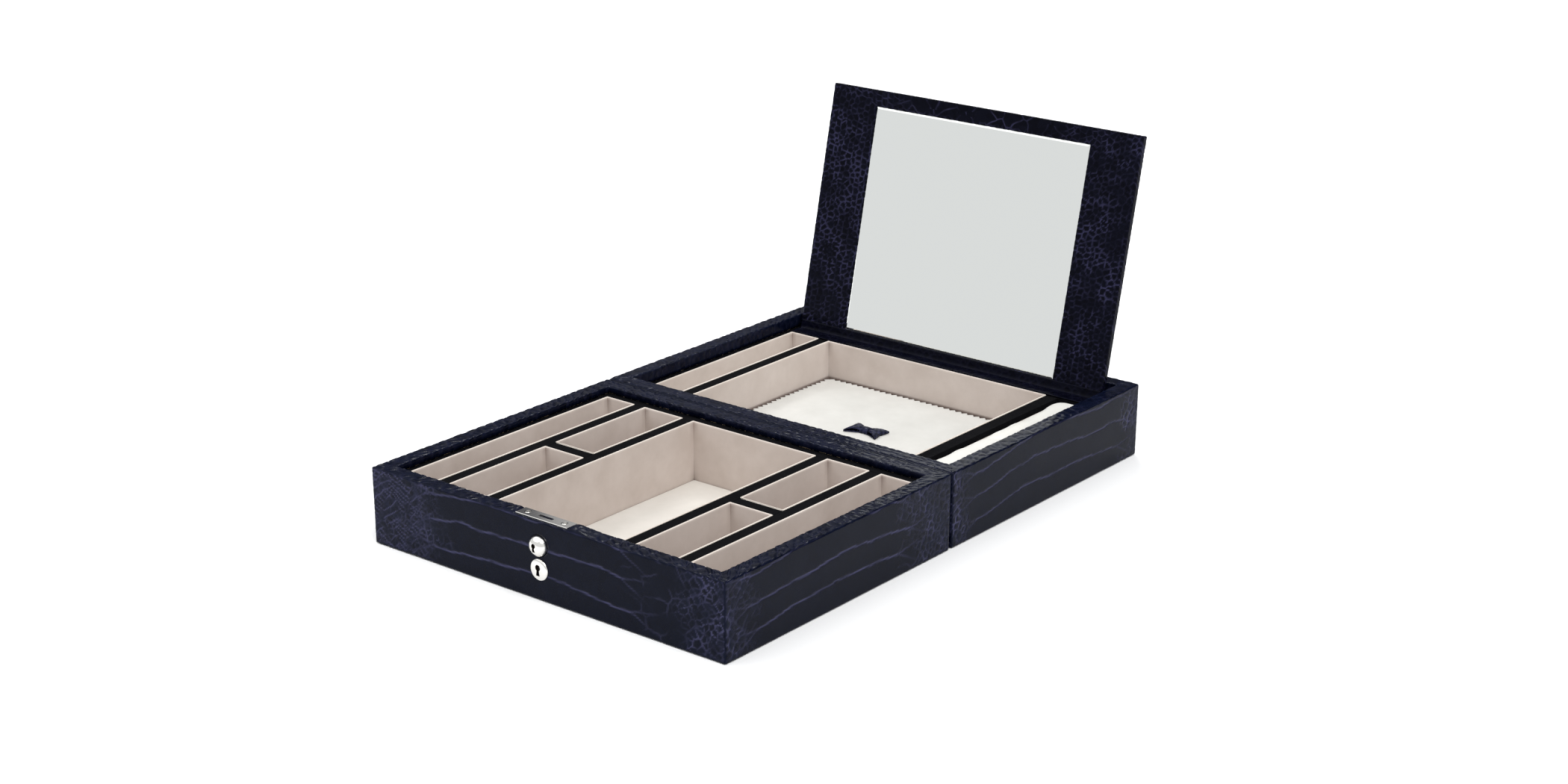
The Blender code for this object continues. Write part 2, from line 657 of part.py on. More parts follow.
def build():
    global PARTS, CUTTERS
    clear_scene()
    PARTS = new_collection("jewellery_box")
    CUTTERS = new_collection("cutters")
    mats = make_materials()
    lid = empty("lid_fold_axis", (0, FOLD_Y, TRAY_H))
    tray_shell("base", FRONT, BASE_TOP, mats)
    base_insert(mats)
    tray_shell("lid", FOLD_Y + 1.0, LID_TOP, mats, lid)
    pad_x, pad_y = lid_insert(mats, lid)
    lift_out_pad(pad_x, pad_y, mats, lid)
    mirror_flap(mats, lid)
    fold_leather(mats, lid)
    lock_mortise()
    fixed_lock(mats)
    push_button(mats)
    lock_bolt(mats)
    key_barrel(mats)
    hook_plate(mats, lid)


build()
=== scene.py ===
"""Looks of the jewellery box: embossed leather, suede linings, pads, mirror and lock."""

import math

import bmesh
import bpy
import numpy as np
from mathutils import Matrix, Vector


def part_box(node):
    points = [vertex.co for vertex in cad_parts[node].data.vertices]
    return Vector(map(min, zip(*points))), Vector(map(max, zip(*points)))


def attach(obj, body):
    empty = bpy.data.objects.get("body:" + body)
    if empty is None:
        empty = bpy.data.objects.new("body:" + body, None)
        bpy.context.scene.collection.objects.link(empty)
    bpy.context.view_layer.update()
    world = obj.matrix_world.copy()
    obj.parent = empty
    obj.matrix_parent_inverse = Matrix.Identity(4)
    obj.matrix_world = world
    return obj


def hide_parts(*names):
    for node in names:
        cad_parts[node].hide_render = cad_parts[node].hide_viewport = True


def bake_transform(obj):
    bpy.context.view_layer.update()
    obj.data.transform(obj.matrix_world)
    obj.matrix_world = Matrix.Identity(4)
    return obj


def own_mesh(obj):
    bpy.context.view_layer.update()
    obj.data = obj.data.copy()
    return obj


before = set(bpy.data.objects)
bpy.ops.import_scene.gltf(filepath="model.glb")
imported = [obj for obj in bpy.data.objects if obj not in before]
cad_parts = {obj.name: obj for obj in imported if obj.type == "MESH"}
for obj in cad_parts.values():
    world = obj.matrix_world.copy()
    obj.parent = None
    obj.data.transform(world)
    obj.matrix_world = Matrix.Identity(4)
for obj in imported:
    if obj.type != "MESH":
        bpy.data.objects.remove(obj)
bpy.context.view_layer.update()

MM = 0.001

# --- camera and light --------------------------------------------------------------------
CAMERA_PLACE = (0.9740, -1.0928, 0.6093)
CAMERA_TURN = (68.48, 0.0, 39.07)      # degrees
CAMERA_LENS = 59.57                    # mm on a 36 mm wide sensor
CAMERA_SHIFT = (0.0077, 0.0668)
FLOOR_SIZE = 14.0                      # metres
SOFTBOX_FAR = 3.2                      # metres
# The suns' brightness, spread and turn in degrees. The softboxes' width and height in metres,
# degrees from the back towards the left, degrees up, and brightness.
SUNS = (("key", 1.75, 40, (34, 0, 68)), ("fill", 0.75, 80, (25, 0, -50)))
SKY_BRIGHT = (0.86, 0.87, 0.88)
SKY_DARK = (0.10, 0.10, 0.11)
BEHIND = (0.05, 0.45)                  # where the sky turns dark towards the back
OVERHEAD = (0.55, 0.90)                # and where it turns bright again, going up
SOFTBOXES = {
    "rim_softbox": (0.50, 0.9, 41.0, 20.0, 0.35),
    "glint_softbox": (0.80, 0.4, 40.0, 48.0, 20.0),
}

# --- leather -----------------------------------------------------------------------------
GRID = 0.88                            # mm between the leather's points
RELIEF = 0.28                          # depth of the embossed creases, mm
SKIN = 1.0
RIM = 11.5
TRAY_H = 50.0
FRONT = -106.0                         # the lock side's outer face
SNAP = 0.55 * GRID                     # a point this near a recess's edge moves onto it
BUTTON_HEIGHT = 34.8
KEY_HEIGHT = 19.9
LINE_HEIGHTS = (9.5, 26.5, 43.0)       # the long creases at the ends of their arch, mm
LINE_ARCH = 6.5
COARSE_CELL = (26.0, 10.0)             # large plates between the belly and the net
RIM_CELL = (8.5, 4.0)
FLAP_CELL = (3.9, 4.6)

# Where each side's long creases run, where the small scales stop and start again, and how the
# small scales slant at both ends. In mm and degrees along the side, seen from outside.
FACES = {
    ("base", 0): {"lines": (58, 212), "net": (58, 248), "slant": (-28, -8), "cell": (6.8, 2.9)},
    ("base", 1): {"lines": (20, 170), "net": (17, 172), "slant": (12, 20), "cell": (6.0, 3.6)},
    ("lid", 1): {"lines": (26, 196), "net": (16, 198), "slant": (-10, 14), "cell": (6.0, 4.0)},
}
HATCH = ((-27.0, 2.8), (36.0, 4.6))     # degrees along a side and mm apart, front left corner
HATCH_REACH = (30.0, 64.0)              # mm from the corner over which it fades out
HATCHED = ("base", 0)
PATTERN_SEED = {"base": 11, "lid": 47}
LINE_STRENGTH = {"base": 1.0, "lid": 0.7}
OTHER_FACE = {"lines": (55, 165), "net": (46, 168), "slant": (-18, 14), "cell": (7.0, 4.2)}


# --- shared helpers ----------------------------------------------------------------------
def put(name, verts, faces, materials, body=None, replaced=(), smooth=True):
    """Make a mesh piece from points in millimetres."""
    mesh = bpy.data.meshes.new(name)
    mesh.from_pydata((np.asarray(verts, float) * MM).tolist(), [], [list(f) for f in faces])
    for mat in materials:
        mesh.materials.append(mat)
    mesh.validate()
    mesh.polygons.foreach_set("use_smooth", [smooth] * len(mesh.polygons))
    obj = bpy.data.objects.new(name, mesh)
    bpy.context.scene.collection.objects.link(obj)
    outward(mesh)
    if body:
        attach(obj, body)
    if replaced:
        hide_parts(*replaced)
    return obj


def outward(mesh):
    work = bmesh.new()
    work.from_mesh(mesh)
    bmesh.ops.recalc_face_normals(work, faces=work.faces)
    work.to_mesh(mesh)
    work.free()


def read_points(mesh, what="co"):
    values = np.empty(len(mesh.vertices) * 3)
    mesh.vertices.foreach_get(what, values)
    return values.reshape(-1, 3)


def write_points(mesh, points):
    mesh.vertices.foreach_set("co", np.asarray(points, float).ravel())
    mesh.update()


def store(mesh, name, values):
    """Keep one number per point for the material."""
    made = mesh.attributes.new(name, "FLOAT", "POINT")
    made.data.foreach_set("value", np.asarray(values, np.float32))


def smoothstep(low, high, x):
    t = np.clip((x - low) / (high - low), 0.0, 1.0)
    return t * t * (3 - 2 * t)


def fall(low, high, x):
    return 1 - smoothstep(low, high, x)


def apply_modifiers(obj):
    graph = bpy.context.evaluated_depsgraph_get()
    mesh = bpy.data.meshes.new_from_object(obj.evaluated_get(graph))
    obj.modifiers.clear()
    obj.data = mesh


def thicken(obj, thickness, offset=0.0):
    solid = obj.modifiers.new("thick", "SOLIDIFY")
    solid.thickness = thickness * MM
    solid.offset = offset
    apply_modifiers(obj)


def box_mm(node):
    low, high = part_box(node)
    return np.array(low) / MM, np.array(high) / MM


def spans(node):
    """A node's limits along X, Y and Z."""
    return tuple(zip(*box_mm(node)))


# --- crocodile pattern -------------------------------------------------------------------
def soft_noise(u, v, size, seed):
    """Smooth random field between -1 and 1 with features of that size."""
    table = np.random.default_rng(seed).uniform(-1, 1, (256, 256))
    a, b = u / size, v / size
    i, j = np.floor(a).astype(int), np.floor(b).astype(int)
    s, t = smoothstep(0, 1, a - i), smoothstep(0, 1, b - j)
    corner = [[table[(i + p) % 256, (j + q) % 256] for q in (0, 1)] for p in (0, 1)]
    low = corner[0][0] * (1 - t) + corner[0][1] * t
    high = corner[1][0] * (1 - t) + corner[1][1] * t
    return low * (1 - s) + high * s


def scale_edges(u, v, cell, seed, loose=0.5, around=0.0):
    """Distance to the nearest edge between irregular scales, and a random tone per scale.

    loose is how far scales stray from an even brickwork, 0 to 1. Where around is given, the
    pattern repeats after that length along u.
    """
    count = max(8, round(around / cell[0])) if around else 256
    width = around / count if around else cell[0]
    rng = np.random.default_rng(seed)
    jitter = rng.uniform(0.5 - loose / 2, 0.5 + loose / 2, (count, 256, 2))
    tones = rng.uniform(0, 1, (count, 256))
    i0, j0 = np.floor(u / width).astype(int), np.floor(v / cell[1]).astype(int)
    near = []
    for di in (-2, -1, 0, 1, 2):
        for dj in (-2, -1, 0, 1, 2):
            i, j = i0 + di, j0 + dj
            place = jitter[i % count, j % 256]
            shift = 0.5 * (j % 2)
            near.append(((i + place[..., 0] + shift - 0.25) * width, (j + place[..., 1]) * cell[1],
                         tones[i % count, j % 256]))
    x = np.stack([n[0] for n in near])
    y = np.stack([n[1] for n in near])
    tone = np.stack([n[2] for n in near])
    first = np.argmin((x - u) ** 2 + (y - v) ** 2, axis=0)
    row = np.arange(len(u))
    x1, y1 = x[first, row], y[first, row]
    dx, dy = x - x1, y - y1
    length = np.hypot(dx, dy)
    far = length < 1e-6
    length[far] = 1.0
    edge = (dx * ((x + x1) / 2 - u) + dy * ((y + y1) / 2 - v)) / length
    edge[far] = 1e3
    return np.maximum(edge.min(axis=0), 0.0), tone[first, row]


def long_creases(along, height, lines, seed):
    """Distance to the long wavy creases of the belly scales, and how strong they are there."""
    middle, half = (lines[0] + lines[1]) / 2, (lines[1] - lines[0]) / 2
    distance = np.full(len(along), 1e3)
    strength = np.zeros(len(along))
    rng = np.random.default_rng(seed)
    for level in LINE_HEIGHTS:
        start, end = lines[0] + rng.uniform(-8, 9), lines[1] + rng.uniform(-12, 8)
        offset = rng.uniform(-1.2, 1.2)
        arch = LINE_ARCH * np.clip(1 - ((along - middle) / (half * 1.15)) ** 2, -0.4, 1.0)
        wave = 2.0 * soft_noise(along, np.full(len(along), level), 38.0, seed + 3)
        wave += 1.1 * soft_noise(along, np.full(len(along), level), 15.0, seed + 5)
        wave += 0.45 * soft_noise(along, np.full(len(along), level), 5.5, seed + 9)
        before, beyond = np.maximum(start - along, 0), np.maximum(along - end, 0)
        spread = np.maximum(before, beyond)
        fade = fall(2.0, 26.0, spread)
        for side, share in ((1, 0.9), (-1, 0.75)):
            away = np.abs(height - (level + offset + arch + wave + side * 0.33 * spread))
            nearer = away < distance
            strength = np.where(nearer, fade * np.where(spread > 0, 0.6 * share, 1.0), strength)
            distance = np.where(nearer, away, distance)
    return distance, strength


def belly(along, height, net, seed):
    """1 where the small scales stop in the middle of a side, 0 in the net of small ones."""
    ragged = 11 * soft_noise(along, height, 13.0, seed) + 5 * soft_noise(along, height, 5.0, seed + 1)
    inside = smoothstep(net[0] - 12, net[0] + 8, along + ragged)
    return inside * fall(net[1] - 8, net[1] + 12, along + ragged)


def slanted(along, height, face, length):
    """Coordinates turned to the slant of the small scales at each end of a side."""
    share = smoothstep(0.35, 0.65, along / length)
    angle = np.radians(face["slant"][0] * (1 - share) + face["slant"][1] * share)
    pivot = np.where(share < 0.5, 0.0, length)
    c, s = np.cos(angle), np.sin(angle)
    shift = along - pivot
    return 400 + pivot + c * shift + s * height, 400 - s * shift + c * height


def broken(u, v, size, seed, low=-0.45, high=0.25):
    """Random field from 0 to 1 that fades creases in and out."""
    field = 0.7 * soft_noise(u, v, size, seed) + 0.3 * soft_noise(u, v, size * 0.4, seed + 1)
    return smoothstep(low, high, field)


def hatch(u, v, seed):
    """Fine folds that cross each other, closer together one way than the other."""
    bent = 1.3 * soft_noise(u, v, 9.0, seed) + 0.5 * soft_noise(u, v, 3.5, seed + 1)
    folds = np.zeros(len(u))
    for number, (turn, pitch) in enumerate(HATCH):
        angle = math.radians(turn)
        across = (math.cos(angle) * v - math.sin(angle) * u + bent) / pitch
        away = np.abs(across - np.round(across)) * pitch
        fold = fall(0.10, 0.62, away) * broken(u, v, 6.0, seed + 2 + number, -0.35, 0.35)
        folds = np.maximum(folds, fold)
    return folds


def warped(u, v, seed, amount=1.0):
    """Coordinates bent a little at two sizes, so that no row of scales runs straight."""
    du = 2.0 * soft_noise(u, v, 12.0, seed) + 0.8 * soft_noise(u, v, 4.0, seed + 1)
    dv = 1.4 * soft_noise(u, v, 10.0, seed + 2) + 0.6 * soft_noise(u, v, 4.0, seed + 3)
    return u + amount * du, v + amount * dv


def emboss(obj, relief, crease, tone):
    """Press the creases into the surface and keep the pattern for the material."""
    mesh = obj.data
    mesh.update()
    normals = read_points(mesh, "normal")
    write_points(mesh, read_points(mesh) - normals * relief[:, None] * MM)
    store(mesh, "crease", crease)
    store(mesh, "tone", tone)


# --- swept rings -------------------------------------------------------------------------
def side_counts(x, y, step):
    return [max(4, round((high - low) / step)) for low, high in (x, y, x, y)]


def rounded_loop(x, y, radius, counts, arc=4, inset=0.0):
    """Points round a rectangle with rounded corners, anticlockwise from the front left."""
    x, y = (x[0] + inset, x[1] - inset), (y[0] + inset, y[1] - inset)
    corners = np.array([(x[0], y[0]), (x[1], y[0]), (x[1], y[1]), (x[0], y[1])], float)
    points = []
    for here, there, count in zip(corners, np.roll(corners, -1, axis=0), counts):
        along = (there - here) / np.linalg.norm(there - here)
        inward = np.array([-along[1], along[0]])
        start, end = here + along * radius, there - along * radius
        points += [start + (end - start) * i / count for i in range(count)]
        centre = end + inward * radius
        points += [centre - inward * radius * math.cos(a) + along * radius * math.sin(a)
                   for a in (math.pi / 2 * i / arc for i in range(arc))]
    return np.array(points)


def grid_faces(rows, columns, start=0, around=False, close=False):
    """Faces between rows of points. around joins a row's ends, close the last row to the first."""
    here = np.arange(columns if around else columns - 1)
    after = (here + 1) % columns
    faces = []
    for row in range(rows if close else rows - 1):
        a, b = start + row * columns, start + (row + 1) % rows * columns
        faces += np.column_stack([a + here, a + after, b + after, b + here]).tolist()
    return faces


def tube_faces(rows, columns):
    """Faces of a tube made of rings of points, capped at both ends."""
    caps = [list(range(columns))[::-1], list(range((rows - 1) * columns, rows * columns))]
    return grid_faces(rows, columns, around=True) + caps


def ring_stack(loops, heights, close=False):
    """Join loops of equal length into a surface, capped or closed on itself."""
    rows, count = len(loops), len(loops[0])
    verts = np.concatenate([np.column_stack([loop, np.full(count, z)])
                            for loop, z in zip(loops, heights)])
    if close:
        return verts, grid_faces(rows, count, around=True, close=True)
    return verts, tube_faces(rows, count)


def arc_points(centre, radius, start, end, steps):
    """(inset, height) points on an arc, angles in degrees from the inward direction."""
    angles = np.radians(np.linspace(start, end, steps))
    return [(centre[0] + radius * math.cos(a), centre[1] + radius * math.sin(a)) for a in angles]


def stretch(low, high, step):
    return np.linspace(low, high, max(2, round(abs(high - low) / step) + 1)).tolist()


# --- materials ---------------------------------------------------------------------------
class Nodes:
    """Short forms for building the node tree of one material or world."""

    def __init__(self, name, kind="materials"):
        self.owner = getattr(bpy.data, kind).new(name)
        self.owner.use_nodes = True
        self.tree = self.owner.node_tree
        self.shader = self.tree.nodes.get("Principled BSDF")

    def add(self, kind, **settings):
        node = self.tree.nodes.new(kind)
        for key, value in settings.items():
            setattr(node, key, value)
        return node

    def plug(self, value, socket):
        """Link an output, or set a plain number or colour."""
        if isinstance(value, bpy.types.NodeSocket):
            self.tree.links.new(value, socket)
        else:
            socket.default_value = (*value, 1.0) if isinstance(value, tuple) else value

    def fill(self, node, **values):
        for key, value in values.items():
            self.plug(value, node.inputs[key.replace("_", " ")])

    def set(self, **values):
        self.fill(self.shader, **values)

    def coords(self, kind="Object"):
        return self.add("ShaderNodeTexCoord").outputs[kind]

    def noise(self, scale, detail=3.0, rough=0.5, vector=None):
        node = self.add("ShaderNodeTexNoise")
        self.fill(node, Scale=scale, Detail=detail, Roughness=rough, Vector=vector or self.coords())
        return node.outputs["Fac"]

    def field(self, name):
        return self.add("ShaderNodeAttribute", attribute_name=name).outputs["Fac"]

    def ramp(self, fac, stops):
        node = self.add("ShaderNodeValToRGB")
        for end, (place, colour) in zip(node.color_ramp.elements, stops):
            end.position = place
            end.color = (*colour, 1.0)
        self.plug(fac, node.inputs["Fac"])
        return node.outputs["Color"]

    def math(self, operation, a, b):
        node = self.add("ShaderNodeMath", operation=operation)
        self.plug(a, node.inputs[0])
        self.plug(b, node.inputs[1])
        return node.outputs[0]

    def mix(self, fac, a, b):
        node = self.add("ShaderNodeMix", data_type="RGBA")
        for index, value in ((0, fac), (6, a), (7, b)):
            self.plug(value, node.inputs[index])
        return node.outputs[2]

    def map(self, value, low, high, start=0.0, end=1.0, shape="LINEAR"):
        node = self.add("ShaderNodeMapRange", interpolation_type=shape)
        self.fill(node, Value=value, From_Min=start, From_Max=end, To_Min=low, To_Max=high)
        return node.outputs["Result"]

    def bump(self, height, distance, strength=1.0, normal=None):
        node = self.add("ShaderNodeBump")
        self.fill(node, Strength=strength, Distance=distance * MM, Height=height)
        if normal:
            self.plug(normal, node.inputs["Normal"])
        return node.outputs["Normal"]

    def finish(self, colour, roughness, normal=None):
        self.set(Base_Color=colour, Roughness=roughness)
        if normal:
            self.set(Normal=normal)
        return self.owner


def croc_leather(name, dark, light, crease_colour, rough, specular):
    """Embossed leather: dark scales, paler rubbed creases, fine pores."""
    n = Nodes(name)
    blotch = n.noise(30, 4)
    scale = n.mix(n.map(n.field("tone"), 0.0, 1.0), dark, light)
    scale = n.mix(n.map(blotch, 0.0, 0.35), scale, light)
    crease = n.field("crease")
    broken = n.math("MULTIPLY", crease, n.map(n.noise(85, 3), 0.55, 1.35))
    colour = n.mix(broken, scale, crease_colour)
    roughness = n.math("ADD", n.map(n.noise(140, 2), rough - 0.08, rough + 0.10),
                       n.math("MULTIPLY", crease, 0.12))
    pores = n.bump(n.noise(1500, 2, 0.6), 0.05, 0.35)
    wrinkles = n.bump(n.noise(320, 4, 0.65), 0.12, 0.35, pores)
    groove = n.bump(n.math("SUBTRACT", 1.0, crease), 0.15, 0.5, wrinkles)
    n.set(Specular_IOR_Level=specular)
    return n.finish(colour, roughness, groove)


def suede(name, colours, grain=2600, fuzz=0.25, seam=None):
    """Napped suede with soft blotches. The seam colour, where given, runs along its sewn or turned
    corners and there also stands for painted shade. The linings also lay it along the foot of their
    walls, and as painted shade below a pad.
    """
    n = Nodes(name)
    blotch = n.ramp(n.noise(45, 5, 0.6), [(0.3, colours[0]), (0.7, colours[1])])
    speck = n.noise(grain, 2, 0.6)
    colour = n.mix(n.map(speck, 0.0, 0.12), blotch, colours[0])
    # Seam colour laid where the lining's stored field asks: real seams mixed with painted shade.
    if seam:
        colour = n.mix(n.field("seam"), colour, seam)
    nap = n.bump(speck, 0.10, 0.5)
    brushed = n.bump(n.noise(240, 4, 0.6), 0.18, 0.3, nap)
    n.set(Sheen_Weight=fuzz, Sheen_Roughness=0.5, Specular_IOR_Level=0.06)
    return n.finish(colour, n.map(n.noise(300), 0.86, 0.98), brushed)


def metal(name, colour, rough, depth=0.01):
    """Metal with fine scratches along one way."""
    n = Nodes(name)
    spread = n.add("ShaderNodeMapping")
    spread.inputs["Scale"].default_value = (900, 90, 90)
    n.plug(n.coords(), spread.inputs["Vector"])
    lines = n.noise(1.0, 3, 0.6, spread.outputs["Vector"])
    tint = n.mix(n.map(n.noise(60), 0.0, 0.35), colour, tuple(c * 0.9 for c in colour))
    n.set(Metallic=1.0)
    return n.finish(tint, n.map(lines, rough * 0.8, rough * 1.3), n.bump(lines, depth, 0.25))


def fibreboard(name):
    n = Nodes(name)
    tone = n.ramp(n.noise(420, 6, 0.7), [(0.3, (0.22, 0.15, 0.09)), (0.7, (0.42, 0.31, 0.20))])
    return n.finish(tone, n.map(n.noise(200), 0.8, 0.95), n.bump(n.noise(1200, 3), 0.1, 0.5))


def mirror_silver(name):
    n = Nodes(name)
    tint = n.mix(n.map(n.noise(6, 2), 0.0, 0.4), (0.800, 0.815, 0.795), (0.825, 0.835, 0.815))
    n.set(Metallic=1.0)
    return n.finish(tint, n.map(n.noise(14, 3), 0.015, 0.045))


def cloth(name):
    """Close black cloth under the trays."""
    n = Nodes(name)
    weave = n.add("ShaderNodeTexWave", wave_type="BANDS", bands_direction="X")
    n.fill(weave, Scale=900, Vector=n.coords())
    colour = n.mix(weave.outputs["Fac"], (0.004, 0.004, 0.005), (0.010, 0.010, 0.012))
    n.set(Sheen_Weight=0.02, Specular_IOR_Level=0.05)
    return n.finish(colour, n.map(n.noise(200), 0.85, 0.97), n.bump(weave.outputs["Fac"], 0.15, 0.5))


def make_materials():
    navy = ((0.0006, 0.0014, 0.0060), (0.0030, 0.0050, 0.0155))
    cream = ((0.54, 0.53, 0.50), (0.60, 0.59, 0.56))
    return {
        "leather": croc_leather("navy_croc_leather", *navy, (0.048, 0.048, 0.105), 0.22, 0.07),
        "deep": croc_leather("deep_croc_leather", (0.0007, 0.0008, 0.0030),
                             (0.0019, 0.0022, 0.0066), (0.046, 0.045, 0.105), 0.24, 0.045),
        "shadow": metal("lock_shadow", (0.030, 0.022, 0.017), 0.6),
        "ivory": suede("ivory_suede", ((0.58, 0.55, 0.505), (0.645, 0.615, 0.57)), fuzz=0.1),
        # The beige suede's seam colour is also the painted shade in the linings' corners and below
        # the lid's pad.
        "beige": suede("beige_suede", ((0.49, 0.42, 0.375), (0.575, 0.505, 0.46)),
                       seam=(0.16, 0.11, 0.09)),
        "cream": suede("cream_suede", cream, fuzz=0.1),
        "roll": suede("cream_roll_suede", ((0.63, 0.62, 0.58), (0.70, 0.69, 0.65)), fuzz=0.1),
        # Paler suede on the linings' turned edges: partly their own colour, partly a painted
        # highlight where light catches the rounded turn.
        "edge": suede("cream_edge_suede", ((0.58, 0.52, 0.46), (0.66, 0.60, 0.54)), fuzz=0.1),
        "black": suede("black_suede", ((0.0014, 0.0014, 0.0020), (0.0035, 0.0035, 0.0045)),
                       grain=1800, fuzz=0.0),
        "nickel": metal("polished_nickel", (0.80, 0.785, 0.75), 0.10),
        "steel": metal("lock_steel", (0.42, 0.42, 0.43), 0.38, depth=0.03),
        "board": fibreboard("fibreboard"),
        "mirror": mirror_silver("mirror_glass"),
        "cloth": cloth("base_cloth"),
    }


# --- leather on the trays ----------------------------------------------------------------
FOOT_ROW = 4  # the row of points where the leather's outside leaves the turn-in below


def tray_profile(insert_top):
    """(inset, height) round the leather's section, outside first and then inside."""
    outside = [(3.8, 0.35), (1.2, 0.35), (0.4, 0.45), (0.1, 0.7), (0.0, 1.0)]
    outside += [(0.0, z) for z in stretch(1.8, TRAY_H - 1.4, GRID)]
    outside += arc_points((1.1, TRAY_H - 1.1), 1.1, 180, 90, 5)
    outside += [(d, TRAY_H) for d in stretch(1.7, RIM - 1.5, GRID)]
    outside += arc_points((RIM - 1.0, TRAY_H - 1.0), 1.0, 90, 0, 5)
    outside += [(RIM, z) for z in stretch(TRAY_H - 1.8, insert_top + 0.3, 2.4)]
    inside = [(RIM - SKIN, insert_top + 0.3), (RIM - SKIN, TRAY_H - SKIN),
              (SKIN, TRAY_H - SKIN), (SKIN, 1.0), (3.8, 1.0)]
    return outside, inside


def tray_leather(tray, insert_top, mat, pockets):
    x, y, _ = spans(tray + "_cover")
    outside, inside = tray_profile(insert_top)
    section = outside + inside
    counts = side_counts(x, y, GRID)
    loops = [rounded_loop(x, y, 1.3 if inset < 5 else 0.6, counts, inset=inset)
             for inset, _ in section]
    verts, faces = ring_stack(loops, [height for _, height in section], close=True)
    obj = put(tray + "_leather", verts, faces, [mat], tray, [tray + "_cover"])
    pattern_tray(obj, loops[FOOT_ROW], section, len(outside), x, y)
    points = read_points(obj.data) / MM
    for press, *sizes in pockets:
        press(points, *sizes)
    write_points(obj.data, points * MM)


def pattern_tray(obj, loop, section, shown_rows, x, y):
    """Lay the crocodile pattern along each side, and over the rim."""
    tray = obj.name.split("_")[0]
    seed = PATTERN_SEED[tray]
    count, rows = len(loop), len(section)
    lengths = (x[1] - x[0], y[1] - y[0])
    step = np.linalg.norm(np.roll(loop, -1, axis=0) - loop, axis=1)
    around = np.concatenate([[0], np.cumsum(step)[:-1]])
    over = np.concatenate([[0], np.cumsum(np.linalg.norm(np.diff(section, axis=0), axis=1))])
    over += 0.6 - over[FOOT_ROW]
    u, v = np.tile(around, rows), np.repeat(over, count)
    side = np.tile(side_of(loop, x, y), rows)
    along = np.tile(along_side(loop, x, y), rows)
    corner = np.minimum(along, np.choose(side % 2, lengths) - along)
    parts = side_parts(tray, side, along, v, lengths, seed)
    sides, dome = side_creases(parts, u, v, along, corner, seed, LINE_STRENGTH[tray])
    on_rim = smoothstep(48.2, 49.6, v)
    fold_side = side == (2 if tray == "base" else 0)
    rim, rim_groove, rim_tone = rim_creases(u, v, seed, step.sum() + 8, fold_side)
    crease = sides * (1 - on_rim) + 0.12 * rim_groove * on_rim
    mottle = 0.25 * broken(u, v, 2.6, seed + 51, 0.0, 0.8) * fall(3, 16, corner)
    crease = np.maximum(crease, mottle * (1 - on_rim)) * smoothstep(0.3, 1.5, corner)
    # Creases fade out near the bottom edge, leaving a plain dark band along the foot: painted shade
    # where the box meets the floor.
    crease *= smoothstep(0.8, 1.8, v)
    dome = dome * (1 - on_rim) + 0.8 * fall(0.0, 2.3, rim) * on_rim
    groove = np.maximum(sides * (1 - on_rim), 1.5 * rim_groove * on_rim)
    relief = RELIEF * np.maximum(groove, dome) + 0.02
    relief += 0.05 * soft_noise(u, v, 16.0, seed + 53) + 0.05
    relief[shown_rows * count:] = 0.0
    tones = parts["tone"] * (1 - 0.7 * parts["smooth"]) * (1 - on_rim) + rim_tone * on_rim
    emboss(obj, np.maximum(relief, 0.0), crease, tones)


def side_parts(tray, side, along, height, lengths, seed):
    """Distances to the creases of the four sides, where each kind runs, and the scales' tones."""
    parts = {name: np.full(len(side), 9.0) for name in ("net", "coarse", "line")}
    parts |= {name: np.zeros(len(side))
              for name in ("strength", "smooth", "tone", "crossing", "crossed")}
    for k in range(4):
        mine = (side == k) & (height < 53)
        a, h = along[mine], height[mine]
        face = FACES.get((tray, k), OTHER_FACE)
        bent = warped(*slanted(a, h, face, lengths[k % 2]), seed + 3 + k)
        found = dict(zip(("net", "tone"), scale_edges(*bent, face["cell"], seed + k, 0.6)))
        found["coarse"], _ = scale_edges(*bent, COARSE_CELL, seed + 30 + k, 0.8)
        found["line"], found["strength"] = long_creases(a, h, face["lines"], seed + 20 * k)
        found["smooth"] = belly(a, h, face["net"], seed + 20 * k + 7)
        if (tray, k) == HATCHED:
            found["crossing"] = fall(*HATCH_REACH, a)
            found["crossed"] = hatch(a, h, seed + 90)
        for name, values in found.items():
            parts[name][mine] = values
    return parts


def side_creases(parts, u, v, along, corner, seed, line_strength):
    """How strong the creases of the sides are, and how the small scales swell."""
    small = 1 - parts["smooth"]
    width = 0.68 + 0.32 * soft_noise(u, v, 6.0, seed + 40)
    fade = 0.2 + 0.8 * broken(u, v, 5.0, seed + 41, -0.7, 0.4)
    fade *= 0.35 + 0.65 * broken(u, v, 14.0, seed + 43)
    fine = fall(0.10, 0.90 * width, parts["net"]) * small * (1 - 0.6 * parts["crossing"])
    crossed = parts["crossed"] * 0.75 * parts["crossing"] * small
    plates = 0.32 * fall(0.10, 0.8, parts["coarse"]) * broken(u, v, 9.0, seed + 45)
    plates *= 1 - parts["strength"] * smoothstep(0, 12, np.minimum(along, corner * 2))
    belly_line = fall(0.15, 0.85, parts["line"]) * parts["strength"] * line_strength
    belly_line *= 0.60 + 0.40 * broken(u, v, 8, seed)
    dome = 0.3 * fall(0.0, 2.0, parts["net"]) * small
    return np.maximum.reduce([fine * fade, crossed, plates, belly_line]), dome


